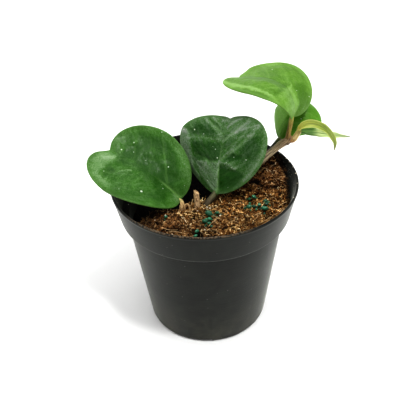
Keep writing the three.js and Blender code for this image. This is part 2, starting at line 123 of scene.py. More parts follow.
class Board:
    # a node tree as it is built
    def __init__(self, tree):
        self.tree = tree

    def find(self, sockets, key):
        if isinstance(key, int):
            return sockets[key]
        return next(s for s in sockets if s.enabled and key in (s.name, s.identifier))

    def node(self, kind, settings=None, inputs=None, give=0):
        made = self.tree.nodes.new(kind)
        count = len(self.tree.nodes)
        made.location = (220 * (count % 14), -260 * (count // 14))
        for key, value in (settings or {}).items():
            if key == "stops":
                ramp = made.color_ramp
                while len(ramp.elements) < len(value):
                    ramp.elements.new(0.5)
                for stop, (place, colour) in zip(ramp.elements, value):
                    stop.position, stop.color = place, (*colour, 1)
            else:
                setattr(made, key, value)
        for key, value in (inputs or {}).items():
            socket = self.find(made.inputs, key)
            several = isinstance(value, list) and isinstance(value[0], Wire)
            for term in value if several else [value]:
                if isinstance(term, Wire):
                    self.tree.links.new(term.socket, socket)
                elif socket.type == "RGBA" and len(term) == 3:
                    socket.default_value = (*term, 1)
                else:
                    socket.default_value = term
        if isinstance(give, (tuple, list)):
            return [Wire(self, self.find(made.outputs, key)) for key in give]
        if give == 0:
            give = next(i for i, s in enumerate(made.outputs) if s.enabled)
        return None if give is None else Wire(self, self.find(made.outputs, give))

    def math(self, operation, *terms):
        return self.node("ShaderNodeMath", {"operation": operation}, dict(enumerate(terms)))

    def sum(self, operation, *terms):  # on vectors where a term is one
        if any(isinstance(term, Wire) and term.isVector() for term in terms):
            return self.node("ShaderNodeVectorMath", {"operation": operation}, dict(enumerate(terms)))
        return self.math(operation, *terms)

    def place(self):  # object coordinates in millimetres
        return self.node("ShaderNodeTexCoord", give="Object") * (1 / mm)

    def stretched(self, vector, scale, turn=(0, 0, 0)):
        return self.node("ShaderNodeMapping", {}, {"Vector": vector, "Scale": scale, "Rotation": turn})

    def noise(self, vector, scale, detail=2.0, rough=0.5, distortion=0.0):
        values = {"Vector": vector, "Scale": scale, "Detail": detail, "Roughness": rough,
                  "Distortion": distortion}
        return self.node("ShaderNodeTexNoise", {}, values, give="Fac")

    def cells(self, vector, scale, feature="F1", give="Distance"):
        return self.node("ShaderNodeTexVoronoi", {"feature": feature}, {"Vector": vector, "Scale": scale},
                         give=give)

    def attribute(self, name, give="Fac"):
        return self.node("ShaderNodeAttribute", {"attribute_name": name}, give=give)

    def blend(self, factor, first, second, mode="MIX"):
        values = {"Factor": factor, "A": first, "B": second}
        return self.node("ShaderNodeMix", {"data_type": "RGBA", "blend_type": mode}, values, give="Result")

    def ramp(self, factor, stops):
        return self.node("ShaderNodeValToRGB", {"stops": stops}, {"Fac": factor}, give="Color")

    def bump(self, height, distance, normal=None):  # height 1 stands distance millimetres proud
        values = {"Height": height, "Distance": distance * mm}
        if normal is not None:
            values["Normal"] = normal
        return self.node("ShaderNodeBump", {}, values)

    def vector(self, x=0.0, y=0.0, z=0.0):
        return self.node("ShaderNodeCombineXYZ", {}, {"X": x, "Y": y, "Z": z})

    def here(self):
        return self.node("GeometryNodeInputPosition")

    def moved(self, geometry, **values):
        return self.node("GeometryNodeSetPosition", {}, {"Geometry": geometry, **values})

    def rotation(self, angles):
        return self.node("FunctionNodeEulerToRotation", {}, {"Euler": angles})

    def chance(self, low, high, seed):  # random number, whole number or vector
        kind = {float: "FLOAT", int: "INT", tuple: "FLOAT_VECTOR"}[type(low)]
        return self.node("FunctionNodeRandomValue", {"data_type": kind},
                         {"Min": low, "Max": high, "Seed": seed})

    def named(self, name, kind="FLOAT"):
        return self.node("GeometryNodeInputNamedAttribute", {"data_type": kind}, {"Name": name},
                         give="Attribute")

    def store(self, geometry, name, value, kind="FLOAT", domain="POINT"):
        values = {"Geometry": geometry, "Name": name, "Value": value}
        return self.node("GeometryNodeStoreNamedAttribute", {"data_type": kind, "domain": domain}, values)

    def finish(self, values):
        shader = self.node("ShaderNodeBsdfPrincipled", {}, values)
        self.node("ShaderNodeOutputMaterial", {}, {"Surface": shader}, give=None)


def newMaterial(name):
    material = bpy.data.materials.new(name)
    material.use_nodes = True
    material.node_tree.nodes.clear()
    return material, Board(material.node_tree)


def newGrowth(name, sockets):
    # geometry tree with named inputs; returns the tree, its board and its input wires
    tree = bpy.data.node_groups.new(name, "GeometryNodeTree")
    tree.interface.new_socket("Geometry", in_out="INPUT", socket_type="NodeSocketGeometry")
    tree.interface.new_socket("Geometry", in_out="OUTPUT", socket_type="NodeSocketGeometry")
    for label, kind in sockets.items():
        tree.interface.new_socket(label, in_out="INPUT", socket_type="NodeSocket" + kind)
    board = Board(tree)
    entry = tree.nodes.new("NodeGroupInput")
    return tree, board, {s.name: Wire(board, s) for s in entry.outputs if s.name}


def closeGrowth(board, geometry, finish):
    real = board.node("GeometryNodeRealizeInstances", {}, {"Geometry": geometry})
    smooth = board.node("GeometryNodeSetShadeSmooth", {}, {"Geometry": real})
    done = board.node("GeometryNodeSetMaterial", {}, {"Geometry": smooth, "Material": finish})
    board.node("NodeGroupOutput", {}, {"Geometry": done}, give=None)


def grow(piece, tree, values):
    # runs a geometry tree on a piece and keeps the result as its plain mesh
    modifier = piece.modifiers.new("growth", "NODES")
    modifier.node_group = tree
    for item in tree.interface.items_tree:
        if item.in_out == "INPUT" and item.name in values:
            modifier[item.identifier] = values[item.name]
    bpy.context.view_layer.update()
    graph = bpy.context.evaluated_depsgraph_get()
    mesh = bpy.data.meshes.new_from_object(piece.evaluated_get(graph), depsgraph=graph)
    piece.modifiers.remove(modifier)
    piece.data = mesh
    mesh.name = piece.name
    return piece


def addObject(name, data):
    made = bpy.data.objects.new(name, data)
    bpy.context.scene.collection.objects.link(made)
    return made


def meshPiece(name, points, faces=(), edges=(), finish=None):
    # points in millimetres
    mesh = bpy.data.meshes.new(name)
    mesh.from_pydata((np.asarray(points, float) * mm).tolist(), edges, [tuple(face) for face in faces])
    mesh.shade_smooth()
    if finish:
        mesh.materials.append(finish)
    return addObject(name, mesh)


def chain(count, start=0):
    # edges that join points to a line
    return [(start + k, start + k + 1) for k in range(count - 1)]


def ringFaces(rings, sides):
    # quads between rings of points that follow each other
    faces = []
    for i in range(rings - 1):
        for s in range(sides):
            corners = ((i, s), (i, s + 1), (i + 1, s + 1), (i + 1, s))
            faces.append([ring * sides + spot % sides for ring, spot in corners])
    return faces


def pointValues(piece, **values):
    for name, numbers in values.items():
        numbers = np.asarray(numbers, np.float32)
        kind = "FLOAT" if numbers.ndim == 1 else "FLOAT_VECTOR"
        layer = piece.data.attributes.new(name, kind, "POINT")
        layer.data.foreach_set("value" if kind == "FLOAT" else "vector", numbers.ravel())


def settle(piece, slotName, *nodes):
    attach(piece, "root")
    if nodes:
        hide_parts(*nodes)
    count = sum(len(p.vertices) - 2 for p in piece.data.polygons)
    print(f"{piece.name}: {count} triangles")


def smoothStep(value, low, high):
    t = np.clip((value - low) / (high - low), 0, 1)
    return t * t * (3 - 2 * t)


def bumps(x, y, size, seed, octaves=3):
    # fractal noise over a plane, about -1 to 1
    spots = zip(x.ravel() / size, y.ravel() / size)
    return np.array([noise.fractal((a, b, seed), 1.0, 2.0, octaves) for a, b in spots]).reshape(x.shape)


def turnedAbout(x, y, cx, cy, degrees):
    a = math.radians(degrees)
    along = (x - cx) * math.cos(a) + (y - cy) * math.sin(a)
    return along, (y - cy) * math.cos(a) - (x - cx) * math.sin(a)


def toned(colour, amount):
    return [c * amount for c in colour]


def catmullRom(path, steps):
    # smooth line through [x, y, z, size] points, as the CAD stalks are drawn
    path = np.asarray(path, float)
    knots = np.vstack([2 * path[0] - path[1], path, 2 * path[-1] - path[-2]])
    line = []
    for i in range(1, len(path)):
        p0, p1, p2, p3 = knots[i - 1:i + 3]
        spans = np.linalg.norm(np.diff(knots[i - 1:i + 3, :3], axis=0), axis=1)
        d0, d1, d2 = np.maximum(np.sqrt(spans), 1e-4)
        m1 = ((p1 - p0) / d0 - (p2 - p0) / (d0 + d1) + (p2 - p1) / d1) * d1
        m2 = ((p2 - p1) / d1 - (p3 - p1) / (d1 + d2) + (p3 - p2) / d2) * d1
        for k in range(steps + (i == len(path) - 1)):
            t = k / steps
            point = (2 * t**3 - 3 * t**2 + 1) * p1 + (t**3 - 2 * t**2 + t) * m1
            point += (3 * t**2 - 2 * t**3) * p2 + (t**3 - t**2) * m2
            point[3] = p1[3] + (p2[3] - p1[3]) * t * t * (3 - 2 * t)
            line.append(point)
    return np.array(line)


def lengthAlong(line):
    return np.r_[0, np.cumsum(np.linalg.norm(np.diff(line[:, :3], axis=0), axis=1))]


# camera, lights and floor
viewpoint = {
    "place": (1.332, -223.716, 230.334),
    "lookDown": 36.783,  # degrees, as the roll
    "roll": -1.6727,
    "focalPixels": 560,
    "imageWidth": 416,
    "sensor": 36,
    "nearAndFar": (0.01, 20),  # metres
}

cameraData = bpy.data.cameras.new("plantCamera")
cameraData.sensor_width = viewpoint["sensor"]
cameraData.lens = viewpoint["focalPixels"] / viewpoint["imageWidth"] * viewpoint["sensor"]
cameraData.clip_start, cameraData.clip_end = viewpoint["nearAndFar"]
camera = addObject("plantCamera", cameraData)
tilt = Matrix.Rotation(math.pi / 2 - math.radians(viewpoint["lookDown"]), 4, "X")
turn = Matrix.Rotation(math.radians(viewpoint["roll"]), 4, "Z")
camera.matrix_world = Matrix.Translation(Vector(viewpoint["place"]) * mm) @ tilt @ turn
bpy.context.scene.camera = camera

studio = {
    "horizon": 0.95,
    "zenith": 0.42,
    "softboxes": {
        # place and aim in metres, width and height, watts
        "topSheet": ((0.0, 0.1, 1.3), (0, 0, 0.06), 1.5, 1.3, 9.0),
        "keyLamp": ((0.25, -0.33, 1.24), (0, 0, 0.06), 0.13, 0.13, 6.0),
        "backStrip": ((-0.3, 1.0, 0.8), (0, 0, 0.1), 0.6, 0.3, 1.0),
    },
    "floorRadius": 4,
    "floorZ": -0.02,  # millimetres, just under the pot
    "floorColour": (0.9, 0.9, 0.895),
    "floorGlow": (0.6, 0.6, 0.6),
    "glowFrom": (450, 1500),  # millimetres from the middle
}


def makeWorld():
    world = bpy.data.worlds.new("paleStudio")
    world.use_nodes = True
    world.node_tree.nodes.clear()
    board = Board(world.node_tree)
    rise = board.node("ShaderNodeTexCoord", give="Generated").part("Z").smooth(0.1, 0.5)
    strength = rise * (studio["zenith"] - studio["horizon"]) + studio["horizon"]
    sky = board.node("ShaderNodeBackground", {}, {"Color": (1.0, 1.0, 1.0), "Strength": strength})
    board.node("ShaderNodeOutputWorld", {}, {"Surface": sky}, give=None)
    return world


def floorFinish():
    material, board = newMaterial("floorPaper")
    shade = board.noise(board.place(), 0.05, 3)
    colour = board.blend(shade, studio["floorColour"], toned(studio["floorColour"], 0.985))
    away = board.place().length().smooth(*studio["glowFrom"])
    board.finish({"Base Color": colour, "Roughness": 0.8, "Specular IOR Level": 0.2, "Emission Strength": 1.0,
                  "Emission Color": board.blend(away, (0.0, 0.0, 0.0), studio["floorGlow"])})
    return material


def makeStudio():
    scene = bpy.context.scene
    scene.view_settings.view_transform = "Standard"
    scene.view_settings.look = "High Contrast"
    scene.world = makeWorld()
    for name, (place, aim, width, height, watts) in studio["softboxes"].items():
        light = bpy.data.lights.new(name, "AREA")
        light.shape, light.size, light.size_y, light.energy = "RECTANGLE", width, height, watts
        lamp = addObject(name, light)
        lamp.location = place
        lamp.rotation_mode = "QUATERNION"
        lamp.rotation_quaternion = (Vector(aim) - Vector(place)).to_track_quat("-Z", "Y")
    reach, sides = studio["floorRadius"] / mm, 64
    turns = np.linspace(0, 2 * math.pi, sides, endpoint=False)
    ring = [(math.cos(a) * reach, math.sin(a) * reach, studio["floorZ"]) for a in turns]
    floor = meshPiece("floor", ring, [range(sides)], finish=floorFinish())
    print("studio ready")


makeStudio()


# pot, in millimetres
pot = {
    "height": 81.1,
    "rimRadius": 45,
    "collarTop": 43.9,
    "collarFoot": 41.9,
    "collarFootZ": 64.5,
    "bodyTop": 38.9,
    "base": 31.7,
    "wall": 1.2,
    "floor": 1.8,
    "sides": 192,
    "drains": 6,
    "firstDrain": -38,
    "archWidth": 12,
    "archHeight": 1.3,
    "archDepth": 5,
    "holeRadius": 3,
    "holeSides": 28,
    "holeCircle": 21,
    "cornerRound": 0.45,
    "sharpFrom": 38,  # degrees, as firstDrain
    "paleFootHeight": 34,
    "black": (0.0072, 0.0082, 0.0068),
    "dust": (0.13, 0.125, 0.095),
    "rimSoil": (0.30, 0.21, 0.13),
    "speck": (0.62, 0.6, 0.55),
    "powder": (0.36, 0.34, 0.29),
    "roughness": (0.36, 0.56),
}


def bodyRadius(z):
    return pot["base"] + (pot["bodyTop"] - pot["base"]) * z / pot["collarFootZ"]


def collarRadius(z):
    rise = (z - pot["collarFootZ"]) / (pot["height"] - 2.5 - pot["collarFootZ"])
    return pot["collarFoot"] + (pot["collarTop"] - pot["collarFoot"]) * rise


def rounded(points, radius, steps=4):
    # each inner corner of a [radius, z] line becomes a small arc
    points = np.asarray(points, float)
    line = [points[0]]
    for before, corner, after in zip(points, points[1:], points[2:]):
        ways = [before - corner, after - corner]
        reach = [min(radius, 0.45 * np.linalg.norm(w)) / np.linalg.norm(w) for w in ways]
        start, end = corner + ways[0] * reach[0], corner + ways[1] * reach[1]
        for t in np.linspace(0, 1, steps + 1):
            line.append((1 - t) ** 2 * start + 2 * t * (1 - t) * corner + t * t * end)
    return np.array(line + [points[-1]])


def potProfile():
    # [radius, z] from the middle of the underside, over the lip, to the middle of the floor
    foot, step, top = pot["floor"], pot["collarFootZ"], pot["height"]
    base, collar, rim, wall = pot["base"], pot["collarFoot"], pot["rimRadius"], pot["wall"]
    outer = [
        (0, 0.5), (base - 5, 0.5), (base - 4.2, 0), (base - 0.8, 0), (base, 0.8),
        (bodyRadius(30), 30), (pot["bodyTop"], step - 0.6), (collar - 0.5, step), (collar, step + 0.6),
        (rim - 0.35, top - 1.8), (rim, top - 0.9), (rim - 0.2, top - 0.2), (rim - 0.6, top),
        (rim - 1.1, top - 0.25),
    ]
    inner = [
        (rim - 1.4, top - 1.2), (collarRadius(top - 4) - wall, top - 4),
        (collarRadius(step + 1.8) - wall, step + 1.8), (collarRadius(step + 0.8) - wall - 0.4, step + 0.9),
        (bodyRadius(step - 0.2) - wall, step - 0.2), (bodyRadius(foot + 0.8) - wall, foot + 0.8),
        (bodyRadius(foot) - wall - 0.8, foot), (0, foot),
    ]
    return rounded(outer + inner, pot["cornerRound"])


def potTree():
    lengths = ("First Drain", "Drain Circle", "Hole Radius", "Base Radius", "Arch Width", "Arch Height")
    sockets = {"Sides": "Int", "Drains": "Int", **dict.fromkeys(lengths, "Float"), "Finish": "Material"}
    tree, board, wires = newGrowth("turnedPot", sockets)
    profile, sides = wires["Geometry"], wires["Sides"]
    rows = board.node("GeometryNodeAttributeDomainSize", {}, {"Geometry": profile}, give="Point Count")
    grid = board.node("GeometryNodeMeshGrid", {}, {"Vertices X": sides + 1, "Vertices Y": rows}, give="Mesh")
    index = board.node("GeometryNodeInputIndex")
    row = board.math("MODULO", index, rows)
    column = board.math("ROUND", (index - row) / rows)
    values = {"Geometry": profile, "Value": board.here(), "Index": row}
    point = board.node("GeometryNodeSampleIndex", {"data_type": "FLOAT_VECTOR"}, values)
    angle = column / sides * (2 * math.pi)
    radius, height = point.part("X"), point.part("Z")
    turned = board.vector(radius * board.math("COSINE", angle), radius * board.math("SINE", angle), height)
    shell = board.moved(grid, Position=turned)
    shell = board.node("GeometryNodeMergeByDistance", {}, {"Geometry": shell, "Distance": 0.01 * mm})
    # arches and holes, one of each to a drain
    size = board.vector(pot["archDepth"] * mm, wires["Arch Width"], wires["Arch Height"] * 2)
    arch = board.node("GeometryNodeMeshCube", {}, {"Size": size}, give="Mesh")
    drill = {"Vertices": pot["holeSides"], "Radius": wires["Hole Radius"], "Depth": 8 * mm}
    hole = board.node("GeometryNodeMeshCylinder", {}, drill, give="Mesh")
    for cutter, reach in ((arch, wires["Base Radius"]), (hole, wires["Drain Circle"])):
        ring = board.node("GeometryNodeMeshCircle", {}, {"Vertices": wires["Drains"], "Radius": reach})
        start = board.vector(z=wires["First Drain"])
        ring = board.node("GeometryNodeTransform", {}, {"Geometry": ring, "Rotation": start})
        spin = board.rotation(board.vector(z=board.here().bearing()))
        values = {"Points": ring, "Instance": cutter, "Rotation": spin}
        placed = board.node("GeometryNodeInstanceOnPoints", {}, values)
        placed = board.node("GeometryNodeRealizeInstances", {}, {"Geometry": placed})
        settings = {"operation": "DIFFERENCE", "solver": "MANIFOLD"}
        meshes = {"Mesh 1": shell, "Mesh 2": placed}
        shell = board.node("GeometryNodeMeshBoolean", settings, meshes, give="Mesh")
    closeGrowth(board, shell, wires["Finish"])
    return tree


def potFinish():
    material, board = newMaterial("satinBlackPlastic")
    place = board.place()
    height, top, step, black = place.part("Z"), pot["height"], pot["collarFootZ"], pot["black"]
    smudge = board.noise(place, 0.09, 4, 0.6, 0.4)
    grain = board.noise(place, 3.2, 2)
    wrapped = board.vector(place.bearing() * 40, height * 0.12, board.noise(place, 0.02, 1) * 3)
    scuff = board.noise(wrapped, 1.1, 5, 0.7).smooth(0.6, 0.8)
    turning = board.noise(board.stretched(place, (0.02, 0.02, 2.4)), 1, 2)
    # a pale film, lighter towards the foot, with dry soil on the step and inside
    foot = 1 - height.smooth(0, pot["paleFootHeight"])
    ledge = 1 - (height - step).size().smooth(0.2, 2.2)
    rim = height.smooth(top - 2.4, top - 0.3)
    above = height.smooth(step - 0.3, step + 0.3)
    outer = bodyRadius(height) * (1 - above) + collarRadius(height) * above
    inside = (place.reach() - outer).smooth(-0.5, -0.9) * height.smooth(60, 66)
    film = board.noise(place, 0.12, 4, 0.6).smooth(0.3, 0.8)
    speckle = board.noise(place, 1.6, 3, 0.7).smooth(0.58, 0.74)
    filmed = (foot * 0.42 + ledge * 0.12 + inside * 0.14 + 0.05) * (film * 0.65 + speckle * 0.25 + 0.15)
    filmed = (filmed + scuff * 0.04).lowest(0.8)
    spots = 1 - board.cells(place, 0.42).smooth(0.07, 0.13)
    picked = board.cells(place, 0.42, give="Color").part("X").smooth(0.8, 0.84)
    fleck = spots * picked * (rim + inside + 0.12).lowest(1)
    colour = board.blend(smudge.smooth(0.3, 0.8), black, toned(black, 2.4))
    colour = board.blend(filmed, colour, pot["dust"])
    # painted shade: the top of the lip is darkened
    colour = board.blend(height.smooth(top - 0.9, top - 0.3) * 0.3, colour, toned(black, 0.5))
    # painted shade: the inner wall is darkened
    colour = board.blend(inside * 0.75, colour, toned(black, 0.25))
    # soil rubbed on the front of the lip, pale specks, powder on the right of the inner wall
    across, along = place.part("X"), place.part("Y")
    front = along.smooth(-26, -36) * across.smooth(24, 12) * height.smooth(top - 0.9, top - 0.2)
    rubbed = front * board.noise(place, 1.1, 3, 0.7).smooth(0.42, 0.58) * 0.42
    colour = board.blend(rubbed, colour, pot["rimSoil"])
    colour = board.blend(fleck, colour, pot["speck"])
    powder = board.cells(place + board.noise(place, 1.1, 2), 0.85).smooth(0.34, 0.16)
    powder = powder * inside * height.smooth(66, 72) * across.smooth(18, 34) * 0.55
    colour = board.blend(powder, colour, pot["powder"])
    rough = smudge.span(*pot["roughness"]) + filmed * 0.4 + scuff * 0.08 + fleck * 0.3 + inside * 0.3
    normal = board.bump(grain * 0.5 + smudge * 0.6, 0.03)
    normal = board.bump(turning, 0.03, normal)
    normal = board.bump(film * filmed + fleck, 0.08, normal)
    board.finish({"Base Color": colour, "Roughness": rough, "Normal": normal, "Specular IOR Level": 0.2,
                  "Sheen Weight": 0.32, "Sheen Roughness": 0.35, "Sheen Tint": (0.9, 0.92, 0.85)})
    return material


def makePot():
    line = potProfile()
    profile = meshPiece("nursery_pot", [(r, 0, z) for r, z in line], edges=chain(len(line)))
    values = {"Sides": pot["sides"], "Drains": pot["drains"], "First Drain": math.radians(pot["firstDrain"]),
              "Drain Circle": pot["holeCircle"] * mm, "Hole Radius": pot["holeRadius"] * mm,
              "Base Radius": pot["base"] * mm, "Arch Width": pot["archWidth"] * mm,
              "Arch Height": pot["archHeight"] * mm, "Finish": potFinish()}
    piece = grow(profile, potTree(), values)
    piece.data.set_sharp_from_angle(angle=math.radians(pot["sharpFrom"]))
    settle(piece, "pot_plastic", "pot")


makePot()


# growing medium, in millimetres
medium = {
    "level": 74.5,
    "hollow": 58,  # level of the hollow behind the grown leaves
    "cells": 250,
    "wallGap": 0.12,
    "sideLevels": [63.5, 56, 40, 20, pot["floor"] + 1.2, pot["floor"] + 0.3],
    "litterReach": (36.9, 41.7),  # below and above the pot's step
    "crumb": (0.17, 0.078, 0.026),
    "light": (0.50, 0.30, 0.13),
    # the next two: painted shade between clumps, in pits and in the hollow behind the grown leaves
    "dark": (0.006, 0.003, 0.0015),
    "hollowShade": (0.004, 0.003, 0.0025),
    "rimPale": (0.60, 0.38, 0.19),
    "darkPit": 2.4,  # pits from this depth are painted dark
    # front edge of the hollow behind the grown leaves
    "edgeX": [-44, -33, -29.5, -24.7, -17, -9, -4, 1, 6, 10, 16, 22, 30, 44],
    "edgeY": [-40, -27, -22.4, -15.8, -12.2, -10.4, -9, -7.4, -2, 4, 14, 22, 27, 24],
    # pits: x, y, depth, reach along and across, turn in degrees
    "pits": [
        (-14.4, -29.7, 2.8, 3.6, 1.7, -20), (-3.4, -34.4, 3.2, 2.6, 3.0, 20), (24.2, 0.2, 3.0, 3.3, 2.6, -10),
        (28, -2.8, 2.4, 3.2, 1.2, -15), (32, 13.5, 2.6, 3.8, 1.8, -20), (34.5, -3.2, 2.6, 5.0, 1.0, 4),
        (-5.5, -21.5, 2.2, 0.9, 2.4, 15), (-22, -25, 2.0, 3.0, 1.0, -30), (8.5, -31, 1.6, 2.2, 1.0, 10),
        (4.5, -12.5, 1.8, 2.0, 1.2, 30), (14, -20, 1.3, 1.6, 0.9, -30), (18, -27.5, 1.4, 1.8, 0.9, 20),
        (30, -20.5, 1.4, 2.2, 0.9, 30), (-9.5, -24, 1.3, 1.4, 0.8, 50), (24.5, -7, 1.8, 1.8, 1.0, 15),
    ],
}

# granules: x, y and radius
granules = [
    (1.7, -22.4, 1.6), (5.4, -20.9, 0.9), (1.9, -25.4, 0.9), (-0.4, -27.1, 1.05), (1.7, -28.2, 0.9),
    (-3.8, -33.4, 0.85), (-4.4, -35.6, 0.75), (-17.8, -22.8, 0.7), (23, -9.8, 0.95), (20.9, -10.4, 0.85),
    (20.2, -17.4, 1.1), (22.5, -16.9, 0.85), (25.3, -15.2, 0.9), (28.3, -12.6, 0.9), (28.8, -14.9, 0.8),
    (27.2, -18.4, 1.25),
]


def plainHeight(x, y):
    # top of the medium as the CAD solid has it
    radius = np.hypot(x, y)

    def dent(cx, cy, depth, reach):
        return depth * np.exp(-((x - cx) ** 2 + (y - cy) ** 2) / (2 * reach * reach))

    top = medium["level"] + 0.5 * np.sin(0.33 * x + 1) * np.cos(0.29 * y) + 0.3 * np.sin(0.8 * x - 0.6 * y)
    top = top - 1.2 * smoothStep(radius, 30, 39) * smoothStep(-y, 5, 13)
    top = top - dent(-14, -13.5, 2.6, 4) - dent(4, -9, 1.2, 3)
    top = top + (2 + 0.17 * np.clip(y + 8, 0, 24)) * smoothStep(x, 12, 20) * smoothStep(y, -9.5, -7.5)
    top = top - 9 * smoothStep(x - 0.045 * y, 39.2, 40.2) * smoothStep(y, -9, -7)
    edge = np.interp(x, medium["edgeX"], medium["edgeY"])
    return top + (medium["hollow"] - top) * smoothStep(y - edge, -0.8, 2.2)


def innerRadius(z):
    step, top = pot["collarFootZ"], pot["height"]
    heights = [0, step - 0.2, step + 0.9, step + 1.8, top]
    upper = [collarRadius(step + 0.8) - 0.4, collarRadius(step + 1.8), collarRadius(top)]
    return np.interp(z, heights, [bodyRadius(2), bodyRadius(step - 0.2), *upper]) - pot["wall"]


def granuleHeight(x, y, radius):
    # a granule rests on the highest ground round its foot
    reach = radius + 0.6
    turns = [a * 0.785 for a in range(8)]
    ground = max(float(plainHeight(x + reach * math.cos(a), y + reach * math.sin(a))) for a in turns)
    return ground + radius * 0.93 + 0.3


def clods(x, y, size, seed):
    # rounded lumps with creases between them, 0 in a crease and 1 on top
    near = [noise.voronoi((a / size, b / size, seed))[0] for a, b in zip(x.ravel(), y.ravel())]
    gap = np.array([d[1] - d[0] for d in near]).reshape(x.shape)
    return np.sqrt(np.clip(gap, 0, 0.6) / 0.6)


def pitMask(x, y, wobble):
    mask = np.zeros_like(x)
    for cx, cy, deep, along, across, turnBy in medium["pits"]:
        u, v = turnedAbout(x, y, cx, cy, turnBy)
        away = np.sqrt((u / along) ** 2 + (v / across) ** 2) + 0.25 * wobble
        mask = np.maximum(mask, deep * (1 - smoothStep(away, 0.4, 1.15)))
    return mask


def soilWobble(x, y):
    return 0.9 * bumps(x, y, 4.0, 3.1, 2)


def roughHeight(x, y):
    # top of the medium with its clods, pits and the hollows that the granules lie in
    wobble = soilWobble(x, y)
    edgeFray = bumps(x, y, 3.0, 9.7, 3)
    top = plainHeight(x + 1.1 * edgeFray, y + 1.3 * edgeFray)
    height = top + 0.5 * bumps(x, y, 7.0, 1.3, 3)
    height += (clods(x + wobble, y - wobble, 3.4, 2.2) - 0.6) * 1.0
    height += (clods(x - 0.5 * wobble, y + wobble, 1.5, 5.2) - 0.6) * 0.55
    height += 0.32 * bumps(x, y, 0.9, 7.7, 3)
    height -= pitMask(x, y, wobble) * smoothStep(top, 60, 72)
    for gx, gy, r in granules:
        rest = granuleHeight(gx, gy, r) - 0.75 * r
        near = 1 - smoothStep(np.hypot(x - gx, y - gy), 0.5 * r, 1.6 * r + 0.5)
        height = height + (np.minimum(np.maximum(height, rest - 0.5), rest) - height) * near
    return height


def hollowness(z, width, amount):
    # how far a grid of heights lies below the blurred ground round it
    kernel = np.exp(-np.linspace(-2, 2, width) ** 2)
    kernel /= kernel.sum()
    blurred = np.pad(z, width // 2, mode="edge")
    for axis in (0, 1):
        blurred = np.apply_along_axis(np.convolve, axis, blurred, kernel, "valid")
    return np.clip((blurred - z) * amount, 0, 1)


def soilGapShade(board, place):
    # painted shade where the medium falls away between its clumps
    return board.noise(place + board.noise(place, 0.9, 2) * 0.8, 0.62, 3, 0.72).smooth(0.54, 0.43)


def soilShade(board, place, colour):
    # tan in front, redder at the left and far right, pale along the front rim
    across, along = place.part("X"), place.part("Y")
    tint = board.blend(across.smooth(4, 13), (0.97, 0.92, 0.82), (1.5, 1.32, 1.0))
    zones = [
        (across.smooth(6, 14) * along.smooth(-17, -24), (1.22, 1.18, 1.0)),
        (across.smooth(-7, -15), (1.05, 0.94, 0.84)),
        (across.smooth(8, 15) * along.smooth(-10, -3), (1.04, 0.9, 0.8)),
        (across.smooth(-16, -8) * across.smooth(12, 5) * along.smooth(-26, -20), (1.26, 1.22, 1.02)),
    ]
    for zone, zoneTint in zones:
        tint = board.blend(zone, tint, zoneTint)
    colour = board.blend(1.0, colour, tint, "MULTIPLY")
    reach = place.reach()
    band = reach.smooth(36.5, 39.5) * along.smooth(-20, -29) * across.smooth(14, 2)
    band = band * board.noise(place, 0.35, 2).smooth(0.35, 0.6) * 0.45
    colour = board.blend(band, colour, medium["rimPale"])
    # painted shade in the deep pits and at the gap by the right wall, painted shadow below the left leaf
    ragged = (board.noise(place, 0.7, 3, 0.7) - 0.5) * 1.6
    for x, y, depth, long, wide, turnBy in medium["pits"]:
        if depth >= medium["darkPit"]:
            turned = board.stretched(place - (x, y, 0), (1, 1, 0), (0, 0, -math.radians(turnBy)))
            away = (turned / (long, wide, 1)).length() + ragged
            colour = board.blend(away.smooth(1.15, 0.6) * 0.88, colour, medium["dark"])
    gap = reach.smooth(38.4, 40) * across.smooth(30, 36) * along.smooth(-17, -11) * 0.85
    return board.blend(gap.highest(across.smooth(-16, -27) * 0.6), colour, medium["dark"])


def soilFinish():
    material, board = newMaterial("coirMedium")
    place = board.place()
    hollow = board.attribute("hollow")
    deep = board.attribute("deep")
    patch = board.noise(place, 0.22, 3, 0.6)
    fleck = board.noise(place, 1.5, 4, 0.75)
    strands = board.noise(board.stretched(place, (1.6, 0.35, 0.8), (0, 0, 0.6)), 2.2, 3, 0.7, 1.2)
    cross = board.noise(board.stretched(place, (0.4, 1.7, 0.8), (0, 0, 0.3)), 2.0, 3, 0.7, 1.4)
    strands = strands.highest(cross).smooth(0.55, 0.72)
    colour = board.blend(fleck.smooth(0.3, 0.68), toned(medium["crumb"], 0.28), medium["crumb"])
    colour = board.blend((patch.smooth(0.35, 0.7) * 0.45 + strands * 0.35).lowest(1), colour, medium["light"])
    # painted shade in the hollows of the ground and in small pits
    pits = board.noise(place, 0.95, 2, 0.6).smooth(0.5, 0.34)
    colour = board.blend((hollow * 1.35 + pits * 0.45).lowest(1), colour, medium["dark"])
    colour = soilShade(board, place, board.blend(soilGapShade(board, place) * 0.85, colour, medium["dark"]))
    # painted shade: the hollow behind the grown leaves and the deep pits go nearly black
    colour = board.blend(deep, colour, medium["hollowShade"])
    rough = board.noise(place, 0.9, 2).span(0.82, 0.98)
    normal = board.bump(fleck, 0.5)
    normal = board.bump(strands, 0.25, normal)
    board.finish({"Base Color": colour, "Roughness": rough, "Normal": normal, "Specular IOR Level": 0.2})
    return material


